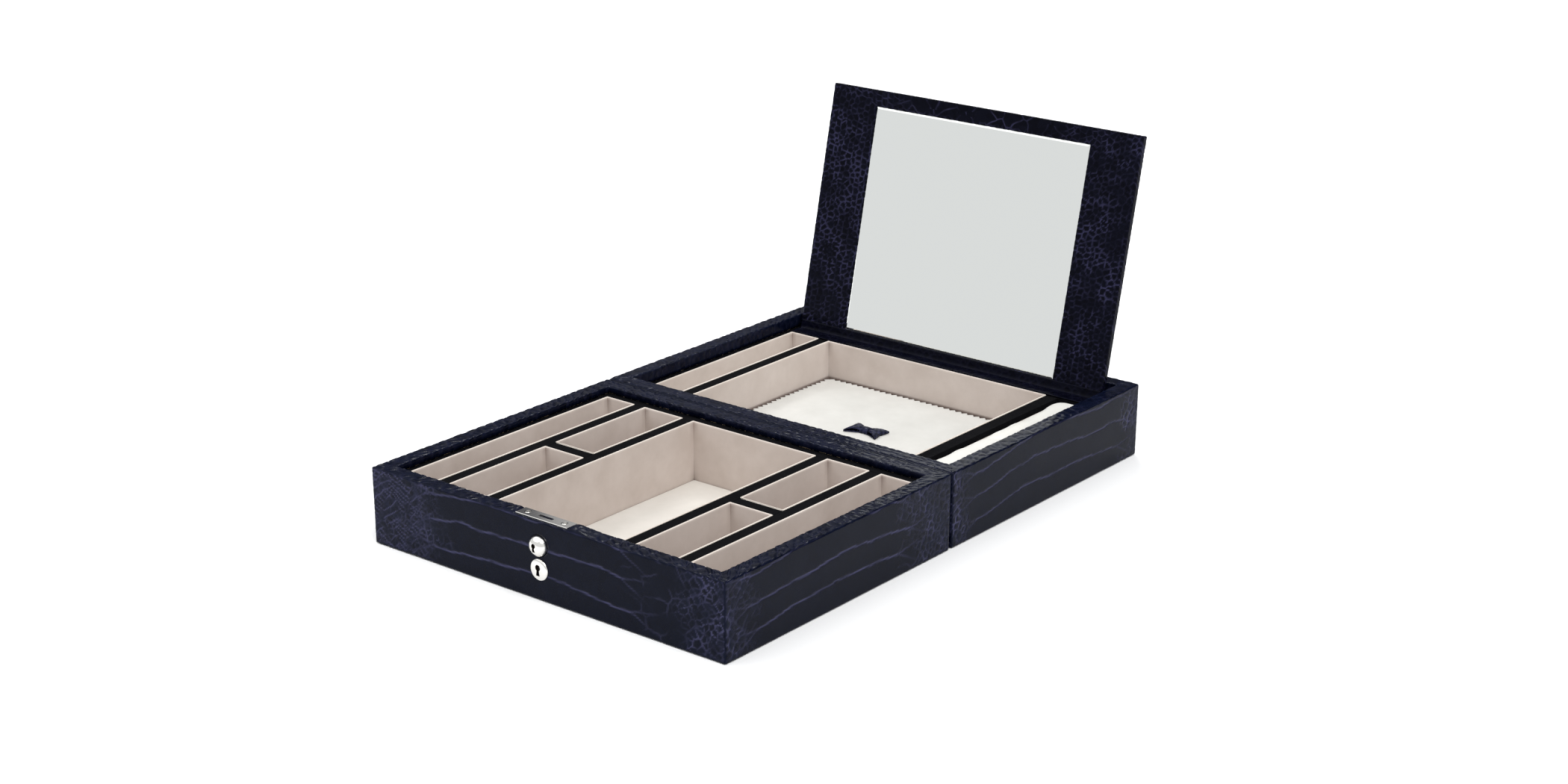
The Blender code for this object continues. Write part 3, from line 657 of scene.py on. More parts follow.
def rim_creases(u, v, seed, length, fold_side):
    """Distance to the edges of the rim's scales, its grooves, and the scales' tones."""
    rim, tone = scale_edges(*warped(u, v, seed + 60, 0.6), RIM_CELL, seed + 1, 0.7, length)
    groove = fall(0.15, 1.1, rim) * broken(u, v, 7.0, seed + 47, -0.8, 0.2)
    rows = np.abs(v - 53.2 - 0.5 * soft_noise(u, v * 0, 9.0, seed + 49))
    rows = np.minimum(rows, np.abs(v - 57.0 - 0.6 * soft_noise(u, v * 0, 8.0, seed + 50)))
    return rim, np.maximum(groove, fall(0.2, 0.7, rows) * fold_side), tone


def side_of(loop, x, y):
    """0 front, 1 right, 2 back, 3 left, for each point of a loop."""
    gaps = np.stack([loop[:, 1] - y[0], x[1] - loop[:, 0], y[1] - loop[:, 1], loop[:, 0] - x[0]])
    return np.argmin(gaps, axis=0)


def along_side(loop, x, y):
    """How far each point is along its side, from that side's near end."""
    side = side_of(loop, x, y)
    ways = np.stack([loop[:, 0] - x[0], loop[:, 1] - y[0], x[1] - loop[:, 0], y[1] - loop[:, 1]])
    return ways[side, np.arange(len(loop))]


def round_pocket(points, centre_z, radius, depth):
    """A round recess in the front face, with its rim snapped to a true circle."""
    across, up = points[:, 0].copy(), points[:, 2] - centre_z
    reach = np.hypot(across, up)
    face = points[:, 1] < FRONT + 0.9
    rim = face & (np.abs(reach - radius) < SNAP)
    inside = face & (reach < radius - SNAP)
    points[rim, 0] = across[rim] / reach[rim] * radius
    points[rim, 2] = centre_z + up[rim] / reach[rim] * radius
    points[inside, 1] += depth


def plate_pocket(points, x, y, depth):
    """A rectangular recess in the rim's top."""
    top = points[:, 2] > TRAY_H - 0.9
    for axis, limits, other in ((0, x, y), (1, y, x)):
        span = (points[:, 1 - axis] > other[0] - 0.6) & (points[:, 1 - axis] < other[1] + 0.6)
        for edge in limits:
            near = top & span & (np.abs(points[:, axis] - edge) < SNAP)
            points[near, axis] = edge
    inside = top & (points[:, 0] > x[0] + 0.1) & (points[:, 0] < x[1] - 0.1)
    inside &= (points[:, 1] > y[0] + 0.1) & (points[:, 1] < y[1] - 0.1)
    points[inside, 2] -= depth


def raised_ends(points, x, height, reach):
    """The leather swells where it is turned over at both ends of the lock plate."""
    top = (points[:, 2] > TRAY_H - 0.9) & (points[:, 1] < FRONT + RIM + 0.5)
    for edge, sign, share in ((x[0], -1, 0.6), (x[1], 1, 1.0)):
        out = (points[:, 0] - edge) * sign
        rise = smoothstep(-0.1, 2.2, out) * fall(3.0, reach, out)
        across = 1 - ((points[:, 1] - FRONT - RIM / 2) / (RIM / 2)) ** 4
        lift = height * share * rise * np.clip(across, 0, 1)
        points[:, 2] += np.where(top & (out > -0.1), lift, 0.0)


BASE_POCKETS = [(round_pocket, BUTTON_HEIGHT, 6.8, 2.6), (round_pocket, KEY_HEIGHT, 3.0, 2.6),
                (plate_pocket, (-20.8, 20.8), (-104.1, -94.6), 1.3),
                (raised_ends, (-20.8, 20.8), 1.7, 22.0)]


LID_POCKETS = [(plate_pocket, (-18.3, 18.3), (308.5, 318.1), 1.3)]


# --- linings -----------------------------------------------------------------------------
LINING_DROP = {"lid_liner_right": 3.6}  # mm below the frame, under the crown of the ring roll
FLANGE = 0.45                           # mm that a lining's long edges are turned over the frame


def lining(node, mats):
    """Suede cup with pale turned edges, softly padded walls and dark corner seams. The pale edges are
    partly a painted highlight where light catches the turn, and the corner seams are partly painted
    shade. The walls darken along their foot, and in the lid's centre well painted shade lies on the
    walls below the lift-out pad.
    """
    x, y, (floor, frame_top) = spans(node)
    bead, wall = 0.28, 0.9
    top = frame_top - LINING_DROP.get(node, 0.15)
    profile = [(0.0, floor), (0.0, top - bead)]
    flange = 0.0 if node in LINING_DROP else FLANGE
    if flange:
        profile += [(0.0, frame_top + 0.03), (-flange, frame_top + 0.03)]
        top = frame_top + 2 * bead
    profile += arc_points((bead - flange, top - bead), bead, 180, 90, 5)
    edge_rows = len(profile)
    profile += [(wall - 0.25, top - 0.05), (wall - 0.05, top - 0.2), (wall + 0.12, top - 0.8)]
    walls = stretch(top - 2.0, floor + 1.6, 1.6)
    middle, half = (top + floor) / 2, (top - floor) / 2
    profile += [(wall + 0.30 * (1 - ((z - middle) / half) ** 2), z) for z in walls]
    profile += arc_points((wall + 0.7, floor + 1.3), 0.7, 180, 270, 4)
    counts = side_counts(x, y, 4.0)
    loops = []
    for d, _ in profile:
        e = max(d, 0.0)
        loops.append(rounded_loop((x[0] + d, x[1] - d), (y[0] + e, y[1] - e), 0.45, counts, 3))
    verts, faces = ring_stack(loops, [z for _, z in profile])
    body = "base" if node.startswith("base") else "lid"
    obj = put(node.replace("liner", "lining"), verts, faces, [mats["beige"], mats["edge"]], body,
              [node])
    per_row = len(loops[0])
    # The turned edges take the paler suede, which is partly a painted highlight.
    for poly in obj.data.polygons:
        rows = sorted(vertex // per_row for vertex in poly.vertices)
        if 1 <= rows[0] and rows[-1] <= edge_rows:
            poly.material_index = 1
    px, py, pz = (read_points(obj.data) / MM).T
    corner_x, corner_y = np.minimum(px - x[0], x[1] - px), np.minimum(py - y[0], y[1] - py)
    corner = np.hypot(corner_x - wall, corner_y - wall)
    # Dark lines in the inner corners: real seams, deepened with painted shade.
    seam = 0.75 * fall(0.2, 0.9, corner) * (pz < top - 0.8)
    # Darker along the foot of each wall.
    darker_foot_and_pad_shade = 0.45 * fall(floor + 0.9, floor + 1.5, pz)
    # In the lid's centre well, painted shade on the walls below the pad's top, standing in for the
    # shadow in the gap round the pinked sheet.
    if node == "lid_liner_centre":
        darker_foot_and_pad_shade = np.maximum(darker_foot_and_pad_shade, 0.9 * (pz < spans("lift_out_pad")[2][1] + 0.4))
    inside = (corner_x > 0.3) & (corner_y > 0.3)
    store(obj.data, "seam", np.where(inside, np.maximum(seam, darker_foot_and_pad_shade), 0.0))


# --- pads and rolls ----------------------------------------------------------------------
PAD_GRID = 5.0
SWELL_FRAMES = 20


def cushion(name, x, y, z, mat, body, nodes, crown, radius, seed):
    """Thin soft pad with rounded edges and a slightly uneven crowned top."""
    bottom, top = z
    r = min(radius, (top - bottom) / 2 * 0.98)
    profile = [(r, bottom)] + arc_points((r, bottom + r), r, 270, 180, 4)[1:]
    profile += arc_points((r, top - r), r, 180, 90, 4)
    inner = min(x[1] - x[0], y[1] - y[0]) / 2 - 2
    profile += [(d, top) for d in stretch(r + 2.5, inner, PAD_GRID)]
    counts = side_counts(x, y, PAD_GRID)
    loops = [rounded_loop(x, y, max(0.4, 1.5 - d), counts, 3, d) for d, _ in profile]
    verts, faces = ring_stack(loops, [height for _, height in profile])
    inset = np.repeat([d for d, _ in profile], len(loops[0]))
    uneven = soft_noise(verts[:, 0], verts[:, 1], 16.0, seed)
    rise = crown * (smoothstep(0, 18, inset) + 0.12 * uneven)
    verts[:, 2] += np.where(verts[:, 2] > top - r, rise, 0.0)
    return put(name, verts, faces, [mat], body, nodes)


def flat_pads(mats):
    """The centre well's floor pad, and the lift-out pad's card under its suede sheet."""
    pad = cushion("centre_floor_pad", *spans("base_centre_pad"), mats["ivory"], "base",
                  ["base_centre_pad"], 0.5, 0.6, 3)
    x, y, (bottom, top) = spans("lift_out_pad")
    inset = 5.2
    card = cushion("lift_out_pad_card", (x[0] + inset, x[1] - inset), (y[0] + inset, y[1] - inset),
                   (bottom, top - 0.9), mats["cream"], "pad", (), 0.0, 0.8, 4)
    pinked_sheet(x, y, top, mats["cream"])


def pinked_sheet(x, y, top, mat):
    """Suede sheet with zigzag pinked edges, lying on the lift-out pad's card."""
    pitch, depth, thick = 5.0, 2.8, 0.8
    border = depth + 1.6
    corners = np.array([(x[0], y[0]), (x[1], y[0]), (x[1], y[1]), (x[0], y[1])])
    outline, inner = [], []
    for here, there in zip(corners, np.roll(corners, -1, axis=0)):
        length = np.linalg.norm(there - here)
        along = (there - here) / length
        inward = np.array([-along[1], along[0]])
        teeth = round((length - 2 * depth) / pitch)
        for i in range(2 * teeth):
            share = i / (2 * teeth)
            inset = depth if i % 2 == 0 else 0.05
            outline.append(here + along * (depth + (length - 2 * depth) * share) + inward * inset)
            inner.append(here + along * (border + (length - 2 * border) * share) + inward * border)
    outline, inner = np.array(outline), np.array(inner)
    centre = (corners[0] + corners[2]) / 2
    reach = [(0.0, 0.0), (0.0, 0.7 * thick), (0.08, thick), (0.5, thick), (1.0, thick)]
    loops = [outline + (inner - outline) * share for share, _ in reach]
    loops += [centre + (inner - centre) * s for s in np.linspace(0.92, 0.04, 14)]
    verts, faces = ring_stack(loops, [top - thick + z for _, z in reach] + [top] * 14)
    lift = 0.25 * soft_noise(verts[:, 0], verts[:, 1], 21.0, 5)
    verts[:, 2] += np.where(verts[:, 2] > top - 0.01, lift, 0.0)
    obj = put("pinked_suede", verts, faces, [mat], "pad", ["lift_out_pad"])


def swell(obj, voxel, cap):
    """Let a cushion swell under light air pressure, as stuffing fills a cover."""
    remesh = obj.modifiers.new("even", "REMESH")
    remesh.mode = "VOXEL"
    remesh.voxel_size = voxel * MM
    apply_modifiers(obj)
    before = read_points(obj.data)
    cover = obj.modifiers.new("cover", "CLOTH")
    cover.settings.use_pressure = True
    cover.settings.uniform_pressure_force = 4.0
    cover.settings.effector_weights.gravity = 0.0
    cover.point_cache.frame_start = 1
    cover.point_cache.frame_end = SWELL_FRAMES
    scene = bpy.context.scene
    for number in range(1, SWELL_FRAMES + 1):
        scene.frame_set(number)
    apply_modifiers(obj)
    move = read_points(obj.data) - before
    size = np.linalg.norm(move, axis=1, keepdims=True)
    write_points(obj.data, before + move * np.minimum(1.0, cap * MM / np.maximum(size, 1e-9)))
    scene.frame_set(1)


def roll_section(half_wide, bottom, top, steps=5):
    """(across, height) round a stuffed roll's section: soft corners and a crowned top."""
    corner, crown = 3.4, 0.9
    tall = top - bottom
    sides = [(half_wide * s, top - crown * 1.4 * s * s) for s in (0.4, 0.0, -0.4)]
    sides = {(1, 1): sides, (-1, -1): [],
             (-1, 1): [(-half_wide, bottom + tall * s) for s in (0.66, 0.5, 0.34)],
             (1, -1): [(half_wide, bottom + tall * s) for s in (0.34, 0.5, 0.66)]}
    points = []
    for sx, sz, start in ((1, 1, 0), (-1, 1, 90), (-1, -1, 180), (1, -1, 270)):
        level = top - crown - corner if sz > 0 else bottom + corner
        for a in (math.radians(start + 90 * k / steps) for k in range(steps + 1)):
            points.append((sx * (half_wide - corner) + corner * math.cos(a),
                           level + corner * math.sin(a)))
        points += sides[sx, sz]
    return np.array(points)


ROLL_SPREAD = {"left": 0.0, "right": 1.0}  # mm that a roll's crown bulges over its lining


def ring_roll(side, mats):
    """Stuffed roll with a rounded crown and rounded ends."""
    node = "ring_roll_" + side
    low, high = box_mm(node)
    middle = (low + high) / 2
    half = (high - low) / 2
    rings, round_end = 70, 4.5
    section = roll_section(half[0], low[2], high[2])
    spread = ROLL_SPREAD[side] * smoothstep(high[2] - 5.0, high[2] - 2.0, section[:, 1])
    section[:, 0] += np.sign(section[:, 0]) * spread
    verts = []
    for i in range(rings + 1):
        t = -1 + 2 * i / rings
        t = math.copysign(1 - (1 - abs(t)) ** 1.25, t)
        to_end = half[1] * (1 - abs(t))
        narrow = 1.0
        if to_end < round_end:
            narrow = 1 - 0.40 * (1 - math.sqrt(1 - (1 - to_end / round_end) ** 2))
        sag = 0.30 * math.sin(9.0 * t) + 0.25 * math.sin(23.0 * t + 1.0) - 1.0
        for across, height in section:
            lift = (height - low[2]) / (high[2] - low[2])
            drop = (1 - narrow) * 3.0 * lift
            verts.append((middle[0] + across * narrow, middle[1] + half[1] * t,
                          height - drop + sag * lift))
    faces = tube_faces(rings + 1, len(section))
    obj = put("stuffed_" + node, verts, faces, [mats["roll"]], None, [node])
    swell(obj, 2.0, 0.5)
    smooth = obj.modifiers.new("smooth", "SUBSURF")
    smooth.levels = 1
    smooth.render_levels = 1
    obj.data.polygons.foreach_set("use_smooth", [True] * len(obj.data.polygons))
    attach(obj, "lid")


def bow(mats):
    """Flat bow: two looped wings gathered under a knot band."""
    low, high = box_mm("bow")
    centre = (low + high) / 2
    base = low[2] - 0.25
    reach, half_w = (high[0] - low[0]) / 2 - 1.6, (high[1] - low[1]) / 2 - 1.0
    waist, thick = 2.6, 0.6
    across, along = 10, 22
    verts, faces = [], []
    for sign in (-1, 1):
        faces += grid_faces(along + 1, across + 1, len(verts))
        for i in range(along + 1):
            t = i / along
            out = math.sin(math.pi * t) ** 0.65
            x = 1.2 + (reach - 1.6) * out
            upper = t > 0.5
            puff = 1.5 * math.sin(math.pi * min(1, out)) + 1.0
            for j in range(across + 1):
                w = -1 + 2 * j / across
                spread = waist + (half_w - waist) * out ** 1.2
                notch = 1.6 * out ** 3 * (1 - abs(w))
                pleat = 0.35 * math.cos(3 * math.pi * w) * (1 - out)
                z = base + thick + (puff + pleat + 0.7 * (1 - w * w) if upper else 0.0)
                verts.append((centre[0] + sign * (x - notch), centre[1] + w * spread, z))
    obj = put("leather_bow", verts, faces, [mats["leather"]], "pad", ["bow"])
    thicken(obj, thick)
    leather_fields(obj, 3.4, 91, 0.10)
    knot(centre, base, mats)


def knot(centre, base, mats):
    """Band wrapped round the bow's waist."""
    loop = [(-3.4, 0.2), (-3.6, 1.6), (-3.2, 3.1), (-1.6, 3.9), (0, 4.1), (1.6, 3.9), (3.2, 3.1),
            (3.6, 1.6), (3.4, 0.2)]
    widths = [(-3.2, 0.5), (-2.9, 0.1), (-1.5, 0.0), (0, -0.1), (1.5, 0.0), (2.9, 0.1), (3.2, 0.5)]
    verts = [(centre[0] + wide, centre[1] + depth, base + max(0.1, height - drop))
             for wide, drop in widths for depth, height in loop]
    count = len(loop)
    faces = [(row + j, row + count + j, row + count + (j + 1) % count, row + (j + 1) % count)
             for row in range(0, len(verts) - count, count) for j in range(count)]
    faces += [tuple(range(count)), tuple(range(len(verts) - count, len(verts)))[::-1]]
    obj = put("bow_knot", verts, faces, [mats["leather"]], "pad", ())
    leather_fields(obj, 3.0, 92, 0.05)


def leather_fields(obj, cell, seed, depth):
    """Small scales on a small leather piece."""
    points = read_points(obj.data) / MM
    edge, tone = scale_edges(points[:, 0] + 500, points[:, 1] + 500, (cell, cell * 0.8), seed)
    groove = fall(0.1, 0.7, edge)
    emboss(obj, depth * groove, 0.5 * groove, tone)


# --- mirror flap -------------------------------------------------------------------------
FLAP_HINGE = (0.0, 294.4, 42.3)
FLAP_TILT = 12.5
FLAP_W = 252.0
FLAP_L = 174.0
FLAP_T = 5.2
WINDOW_X = 87.2
WINDOW_S = (5.8, 162.6)


def stand_flap(verts):
    """From the flap's own frame (across, up the flap, front to back) to the row's."""
    tilt = math.radians(FLAP_TILT)
    verts = np.asarray(verts, float)
    x, up, back = verts[:, 0], verts[:, 1], verts[:, 2]
    y = FLAP_HINGE[1] + back * math.cos(tilt) + up * math.sin(tilt)
    z = FLAP_HINGE[2] - back * math.sin(tilt) + up * math.cos(tilt)
    return np.column_stack([x, y, z])


def flap_leather(mat):
    """Leather wrapped round the flap: front frame, edges and a turn-in behind."""
    outer_x, outer_s = (-FLAP_W / 2, FLAP_W / 2), (0.0, FLAP_L)
    window_x, window_s = (-WINDOW_X, WINDOW_X), WINDOW_S
    stations = [(0.0, 2.4), (0.0, 0.5), (0.004, 0.12), (0.015, 0.0)]
    stations += [(t, 0.0) for t in stretch(0.035, 0.972, 0.0225)]
    edge = [(0.7, 0.0), (0.25, 0.25), (0.0, 0.7), (0.0, 1.6), (0.0, 2.6), (0.0, 3.6), (0.0, 4.5),
            (0.25, 4.95), (0.7, 5.2)]
    loops, heights = [], []
    counts = side_counts(outer_x, outer_s, GRID)

    def between(t, inset):
        x = [w + (o - w) * t for w, o in zip(window_x, outer_x)]
        s = [w + (o - w) * t for w, o in zip(window_s, outer_s)]
        return (x[0] + inset, x[1] - inset), (s[0] + inset, s[1] - inset)

    for t, back in stations:
        loops.append(rounded_loop(*between(t, 0.0), 0.4, counts))
        heights.append(back)
    for inset, back in edge:
        loops.append(rounded_loop(*between(1.0, inset), 1.0, counts))
        heights.append(back)
    for inset in stretch(1.6, 12.0, 1.3):
        loops.append(rounded_loop(*between(1.0, inset), 0.6, counts))
        heights.append(FLAP_T)
    shown = len(loops)
    for inset, back in ((12.0, 4.3), (1.1, 4.3), (1.1, 0.9)):
        loops.append(rounded_loop(*between(1.0, inset), 0.3, counts))
        heights.append(back)
    loops.append(rounded_loop(*between(0.0, -0.35), 0.4, counts))
    heights.append(2.4)
    flat, faces = ring_stack(loops, heights, close=True)
    rows = np.repeat(np.arange(len(loops)), len(loops[0]))
    obj = put("flap_leather", stand_flap(flat), faces, [mat], "flap", ["flap_cover"])
    pattern_flap(obj, flat, rows >= shown, 61)


def pattern_flap(obj, flat, hidden, seed):
    """Net of small scales in uneven columns up the flap, with long creases over its top."""
    u, v = flat[:, 0] + 300, flat[:, 1] + 0.8 * flat[:, 2]
    bent_u, bent_v = warped(u, v, seed + 2, 0.8)
    edge, tone = scale_edges(bent_v, bent_u, FLAP_CELL, seed, 0.62)
    width = 0.80 + 0.35 * soft_noise(u, v, 6.0, seed + 3)
    fine = fall(0.10, 0.72 * width, edge)
    top = smoothstep(FLAP_L - 13, FLAP_L - 8, v) * fall(50, 95, np.abs(flat[:, 0]))
    rows, _ = scale_edges(bent_u, bent_v, (48.0, 3.8), seed + 5, 0.7)
    long_lines = fall(0.1, 0.6, rows) * top
    fade = 0.15 + 0.85 * broken(u, v, 5.5, seed + 4, -0.6, 0.35)
    fade *= 0.30 + 0.70 * broken(u, v, 20.0, seed + 6, -0.7, 0.3)
    fine = np.maximum(fine * (1 - top), long_lines)
    groove = np.where(hidden, 0.0, fine * (0.4 + 0.6 * fade))
    dome = 0.35 * fall(0.0, 2.2, edge) * (1 - top)
    relief = np.where(hidden, 0.0, RELIEF * np.maximum(groove, dome) + 0.02)
    emboss(obj, relief, 0.62 * fine * fade, tone)


def flap_back_panel(mat):
    """Leather panel that covers the turn-in behind the flap."""
    inset, step = 8.0, 1.6
    xs = stretch(-FLAP_W / 2 + inset, FLAP_W / 2 - inset, step)
    ss = stretch(inset, FLAP_L - inset, step)
    flat = np.array([(x, s, FLAP_T + 0.35) for s in ss for x in xs])
    edge = np.minimum.reduce([flat[:, 0] - xs[0], xs[-1] - flat[:, 0], flat[:, 1] - ss[0],
                              ss[-1] - flat[:, 1]])
    flat[:, 2] -= 0.25 * fall(0.0, 1.7, edge)
    obj = put("flap_back_panel", stand_flap(flat), grid_faces(len(ss), len(xs)), [mat], None, ())
    if obj.data.polygons[0].normal.y < 0:
        obj.data.flip_normals()
    pattern_flap(obj, flat, np.zeros(len(flat), bool), 75)
    thicken(obj, 0.5, -1.0)
    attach(obj, "flap")


def mirror_glass(mat):
    """Glass with a narrow polished bevel all round."""
    x, s = (-WINDOW_X - 0.3, WINDOW_X + 0.3), (WINDOW_S[0] - 0.3, WINDOW_S[1] + 0.3)
    stations = [(0.0, 2.05), (0.0, 0.9), (1.7, 0.45), (1.7001, 0.45)]
    loops = [rounded_loop(x, s, 0.15, [4] * 4, 2, d) for d, _ in stations]
    flat, faces = ring_stack(loops, [back for _, back in stations])
    put("mirror_glass", stand_flap(flat), faces, [mat], "flap", ["flap_mirror"],
        smooth=False)


def strip_sheet(name, path, x, step, mat, thickness, relief, seed):
    """Leather strip across the box that follows a path of (y, z) points."""
    xs = stretch(x[0], x[1], step)
    verts = [(px, py, pz) for py, pz in path for px in xs]
    obj = put(name, verts, grid_faces(len(path), len(xs)), [mat], None, ())
    over = np.concatenate([[0], np.cumsum(np.linalg.norm(np.diff(path, axis=0), axis=1))])
    u, v = warped(np.tile(xs, len(path)) + 400, np.repeat(over, len(xs)) + 400, seed, 0.5)
    edge, tone = scale_edges(u, v, (6.0, 3.6), seed)
    groove = fall(0.1, 0.8, edge) * broken(u, v, 6.0, seed + 2, -0.5, 0.3)
    emboss(obj, relief * groove, 0.06 * groove, tone)
    thicken(obj, thickness)
    return obj


def flap_apron(mats):
    """Leather that runs from the wells over the rear ledge and up the flap's foot."""
    y0, hinge_y, hinge_z = FLAP_HINGE[1] - 11.4, FLAP_HINGE[1], FLAP_HINGE[2]
    path = [(y, 41.75) for y in stretch(y0, hinge_y - 2.4, 0.8)]
    tilt = math.radians(FLAP_TILT)
    up = [(hinge_y + s * math.sin(tilt) - 0.05, hinge_z + s * math.cos(tilt))
          for s in stretch(1.6, 5.6, 0.8)]
    bend = [(hinge_y - 1.5, 41.85), (hinge_y - 0.7, 42.2), (hinge_y - 0.1, 42.9)]
    obj = strip_sheet("flap_apron", path + bend + up, (-125.0, 125.0), 0.9, mats["deep"], 0.6,
                      0.18, 33)
    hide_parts("flap_hinge_lower", "flap_hinge_upper")
    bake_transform(obj)


def fold_strip(mats):
    """Leather that joins the trays: down both walls and over the fold between the rims."""
    fold_y, top = 107.0, TRAY_H
    away = 0.76
    down_left = [(fold_y - away, z) for z in stretch(8.0, top - 1.8, 2.0)]
    over = [(fold_y - 0.72, top - 1.1), (fold_y - 0.58, top - 0.8), (fold_y - 0.38, top - 0.6)]
    over += [(fold_y + side, top - 0.5) for side in (-0.2, -0.1, 0.0, 0.1, 0.2)]
    over += [(2 * fold_y - y, z) for y, z in reversed(over[:3])]
    down_right = [(2 * fold_y - y, z) for y, z in reversed(down_left)]
    obj = strip_sheet("fold_leather", down_left + over + down_right, (-138.6, 138.6), 2.0,
                      mats["leather"], 0.30, 0.05, 35)
    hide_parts("hinge_leather_base", "hinge_leather_lid")
    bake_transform(obj)


# --- lock --------------------------------------------------------------------------------
TURN_STEPS = 64


def turned(name, profile, height, mat, nodes):
    """Turn (radius, forward) points about a line that points out of the front face."""
    verts = [(radius * math.cos(a), FRONT - forward, height + radius * math.sin(a))
             for radius, forward in profile
             for a in np.linspace(0, 2 * math.pi, TURN_STEPS, endpoint=False)]
    return put(name, verts, tube_faces(len(profile), TURN_STEPS), [mat], None, nodes)


def bolt_spring(mats):
    """Round wire coil in place of the bolt's spring."""
    low, high = box_mm("bolt_spring")
    wire, turns, steps, around = 0.32, 7, 20, 8
    radius = (high[1] - low[1]) / 2 - wire
    _, y, z = (low + high) / 2
    count = turns * steps
    verts = []
    for i in range(count + 1):
        a = 2 * math.pi * i / steps
        x = low[0] + wire + (high[0] - low[0] - 2 * wire) * i / count
        for b in np.linspace(0, 2 * math.pi, around, endpoint=False):
            out = radius + wire * math.cos(b)
            verts.append((x + wire * math.sin(b), y + out * math.cos(a), z + out * math.sin(a)))
    obj = put("bolt_coil", verts, tube_faces(count + 1, around), [mats["steel"]], "base",
              ["bolt_spring"])
    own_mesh(obj)


def lock_fronts(mats):
    """Domed push button over the keyhole's plate."""
    dome = [(0.05, 5.0), (1.4, 4.92), (2.8, 4.60), (4.1, 4.02), (5.1, 3.22), (5.9, 2.2),
            (6.35, 1.1), (6.5, 0.2), (6.5, -1.0), (2.2, -1.05), (2.2, -4.5), (0.4, -6.3)]
    button = turned("button_cap", dome, BUTTON_HEIGHT, mats["nickel"], ["push_button"])
    cut_keyhole(button, (0, FRONT - 6.0, BUTTON_HEIGHT), 0.85, 4.0, mats["shadow"])
    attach(button, "button")
    disc = [(0.05, 1.75), (3.0, 1.72), (4.6, 1.62), (5.6, 1.42), (6.2, 1.18), (6.6, 0.80),
            (6.8, 0.35), (6.8, 0.1), (0.05, 0.1)]
    plate = turned("escutcheon", disc, KEY_HEIGHT, mats["nickel"], ["key_escutcheon"])
    cut_keyhole(plate, (0, FRONT, KEY_HEIGHT), 1.12, 6.0, mats["shadow"])
    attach(plate, "base")


def cut_keyhole(obj, centre, size, depth, inside):
    """Round eye over a widening slot."""
    eye = [(1.75 * math.cos(a), 1.3 + 1.75 * math.sin(a))
           for a in np.radians(np.linspace(-60, 240, 22))]
    outline = [(size * px, size * pz) for px, pz in eye + [(-1.25, -3.2), (1.25, -3.2)]]
    verts = [(centre[0] + px, centre[1] + dy, centre[2] + pz) for dy in (-depth, depth)
             for px, pz in outline]
    tool = put("keyhole_cut", verts, tube_faces(2, len(outline)), [inside])
    cut = obj.modifiers.new("keyhole", "BOOLEAN")
    cut.solver = "EXACT"
    cut.material_mode = "TRANSFER"
    cut.object = tool
    apply_modifiers(obj)
    bpy.data.objects.remove(tool, do_unlink=True)
    obj.data.polygons.foreach_set("use_smooth", [True] * len(obj.data.polygons))
    obj.data.set_sharp_from_angle(angle=math.radians(35))


# --- carried nodes -----------------------------------------------------------------------
CARRIED = {
    "black": ("base_frame", "lid_frame", "base_divider", "base_cross", "lid_divider", "pad_rest"),
    "board": ("base_floor", "lid_floor", "base_wall", "lid_wall", "flap_board"),
    "cloth": ("base_underside", "lid_underside"),
    "nickel": ("lock_plate", "hook_plate"),
    "steel": ("lock_case", "lock_bolt", "key_barrel", "barrel_tail"),
}
SOFTENED = {"black": 0.3, "nickel": 0.12}


def dress_nodes(mats):
    for key, starts in CARRIED.items():
        for name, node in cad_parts.items():
            if not name.startswith(starts):
                continue
            node.data.materials.clear()
            node.data.materials.append(mats[key])
            if key in SOFTENED and "screw" not in name:
                soften(node, SOFTENED[key])


def soften(node, width):
    bevel = node.modifiers.new("soft", "BEVEL")
    bevel.width = width * MM
    bevel.segments = 3
    bevel.limit_method = "ANGLE"


# --- stage -------------------------------------------------------------------------------
def floor():
    half = FLOOR_SIZE / 2
    mesh = bpy.data.meshes.new("floor")
    mesh.from_pydata([(-half, -half, 0), (half, -half, 0), (half, half, 0), (-half, half, 0)], [],
                     [(0, 1, 2, 3)])
    n = Nodes("pale_floor")
    tone = n.mix(n.map(n.noise(3, 2), 0.0, 0.3), (0.93, 0.93, 0.93), (0.90, 0.90, 0.90))
    n.set(Specular_IOR_Level=0.1)
    mesh.materials.append(n.finish(tone, n.map(n.noise(20), 0.7, 0.8)))
    place_on_stage("floor", mesh)


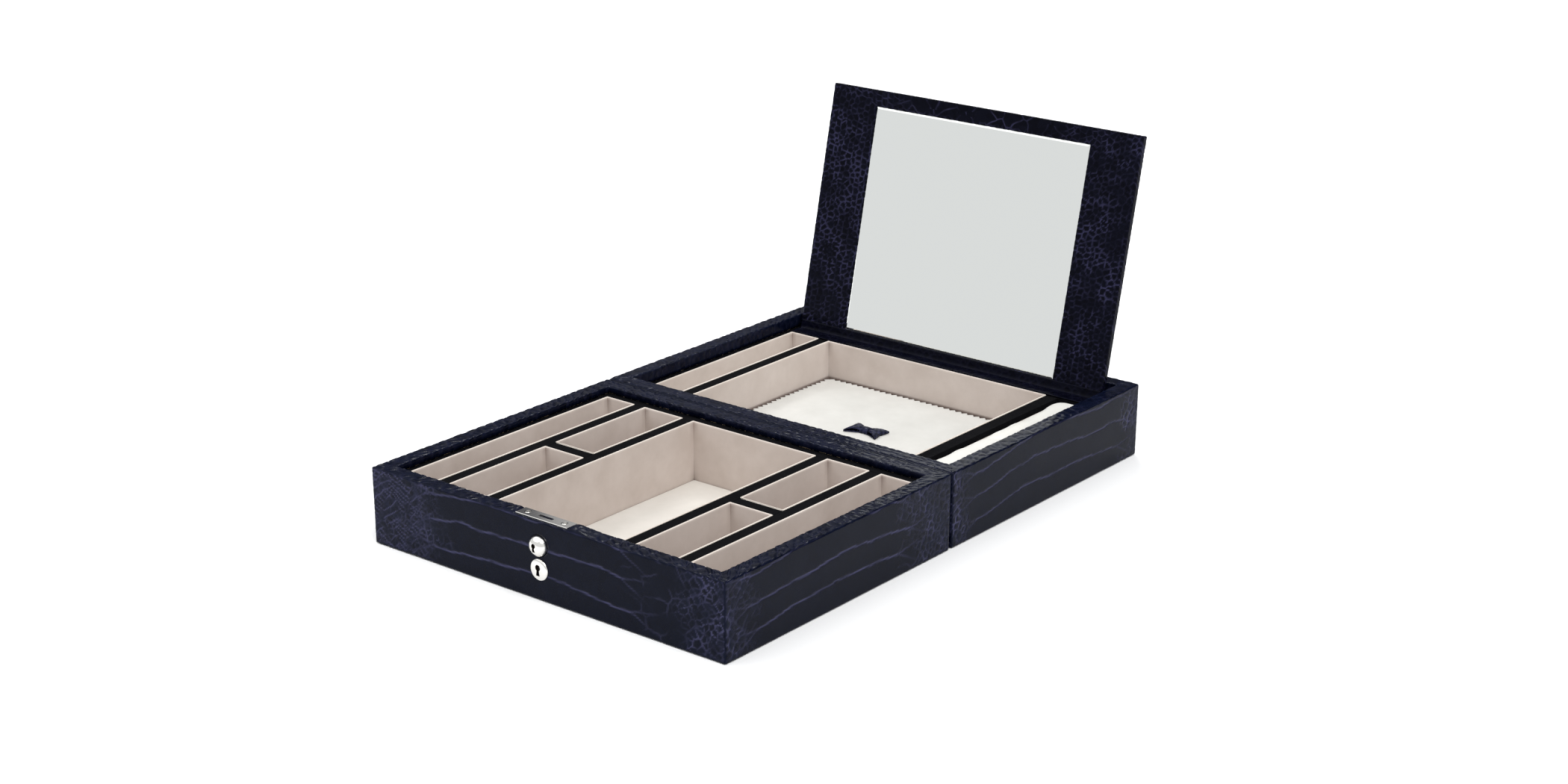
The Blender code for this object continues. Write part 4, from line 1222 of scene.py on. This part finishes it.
def lights():
    for name, energy, spread, turn in SUNS:
        light = bpy.data.lights.new(name, "SUN")
        light.energy = energy
        light.angle = math.radians(spread)
        place_on_stage(name, light, (0, 0, 2), [math.radians(a) for a in turn])
    for name, (wide, tall, azimuth, height, glow) in SOFTBOXES.items():
        box = bpy.data.lights.new(name, "AREA")
        box.shape = "RECTANGLE"
        box.size, box.size_y = wide, tall
        box.energy = glow * math.pi * wide * tall
        a, h = math.radians(azimuth), math.radians(height)
        away = Vector((-math.sin(a) * math.cos(h), math.cos(a) * math.cos(h), math.sin(h)))
        place_on_stage(name, box, away * SOFTBOX_FAR, away.to_track_quat("Z", "Y").to_euler())


def place_on_stage(name, data, place=(0, 0, 0), turn=(0, 0, 0)):
    obj = bpy.data.objects.new(name, data)
    obj.location = place
    obj.rotation_euler = turn
    bpy.context.scene.collection.objects.link(obj)
    return obj


def studio_world():
    """White in front and overhead, dark behind the box, so that the leather stays deep."""
    n = Nodes("studio", "worlds")
    parts = n.add("ShaderNodeSeparateXYZ")
    n.plug(n.coords("Generated"), parts.inputs[0])
    behind = n.map(parts.outputs["Y"], 0.0, 1.0, *BEHIND, "SMOOTHSTEP")
    below = n.map(parts.outputs["Z"], 1.0, 0.0, *OVERHEAD, "SMOOTHSTEP")
    colour = n.mix(n.math("MULTIPLY", behind, below), SKY_BRIGHT, SKY_DARK)
    n.fill(n.tree.nodes["Background"], Color=colour, Strength=1.0)
    bpy.context.scene.world = n.owner


def camera():
    cam = bpy.data.cameras.new("camera")
    cam.lens = CAMERA_LENS
    cam.sensor_width = 36.0
    cam.shift_x, cam.shift_y = CAMERA_SHIFT
    cam.clip_end = 50.0
    turn = [math.radians(a) for a in CAMERA_TURN]
    bpy.context.scene.camera = place_on_stage("camera", cam, CAMERA_PLACE, turn)


def build():
    camera()
    studio_world()
    lights()
    floor()
    bpy.context.scene.view_settings.view_transform = "Standard"
    mats = make_materials()
    dress_nodes(mats)
    tray_leather("base", 45.0, mats["leather"], BASE_POCKETS)
    tray_leather("lid", 41.0, mats["leather"], LID_POCKETS)
    for name in list(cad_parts):
        if "_liner_" in name:
            lining(name, mats)
    flat_pads(mats)
    for side in ("left", "right"):
        ring_roll(side, mats)
    bow(mats)
    flap_leather(mats["deep"])
    flap_back_panel(mats["deep"])
    mirror_glass(mats["mirror"])
    flap_apron(mats)
    fold_strip(mats)
    lock_fronts(mats)
    bolt_spring(mats)


build()
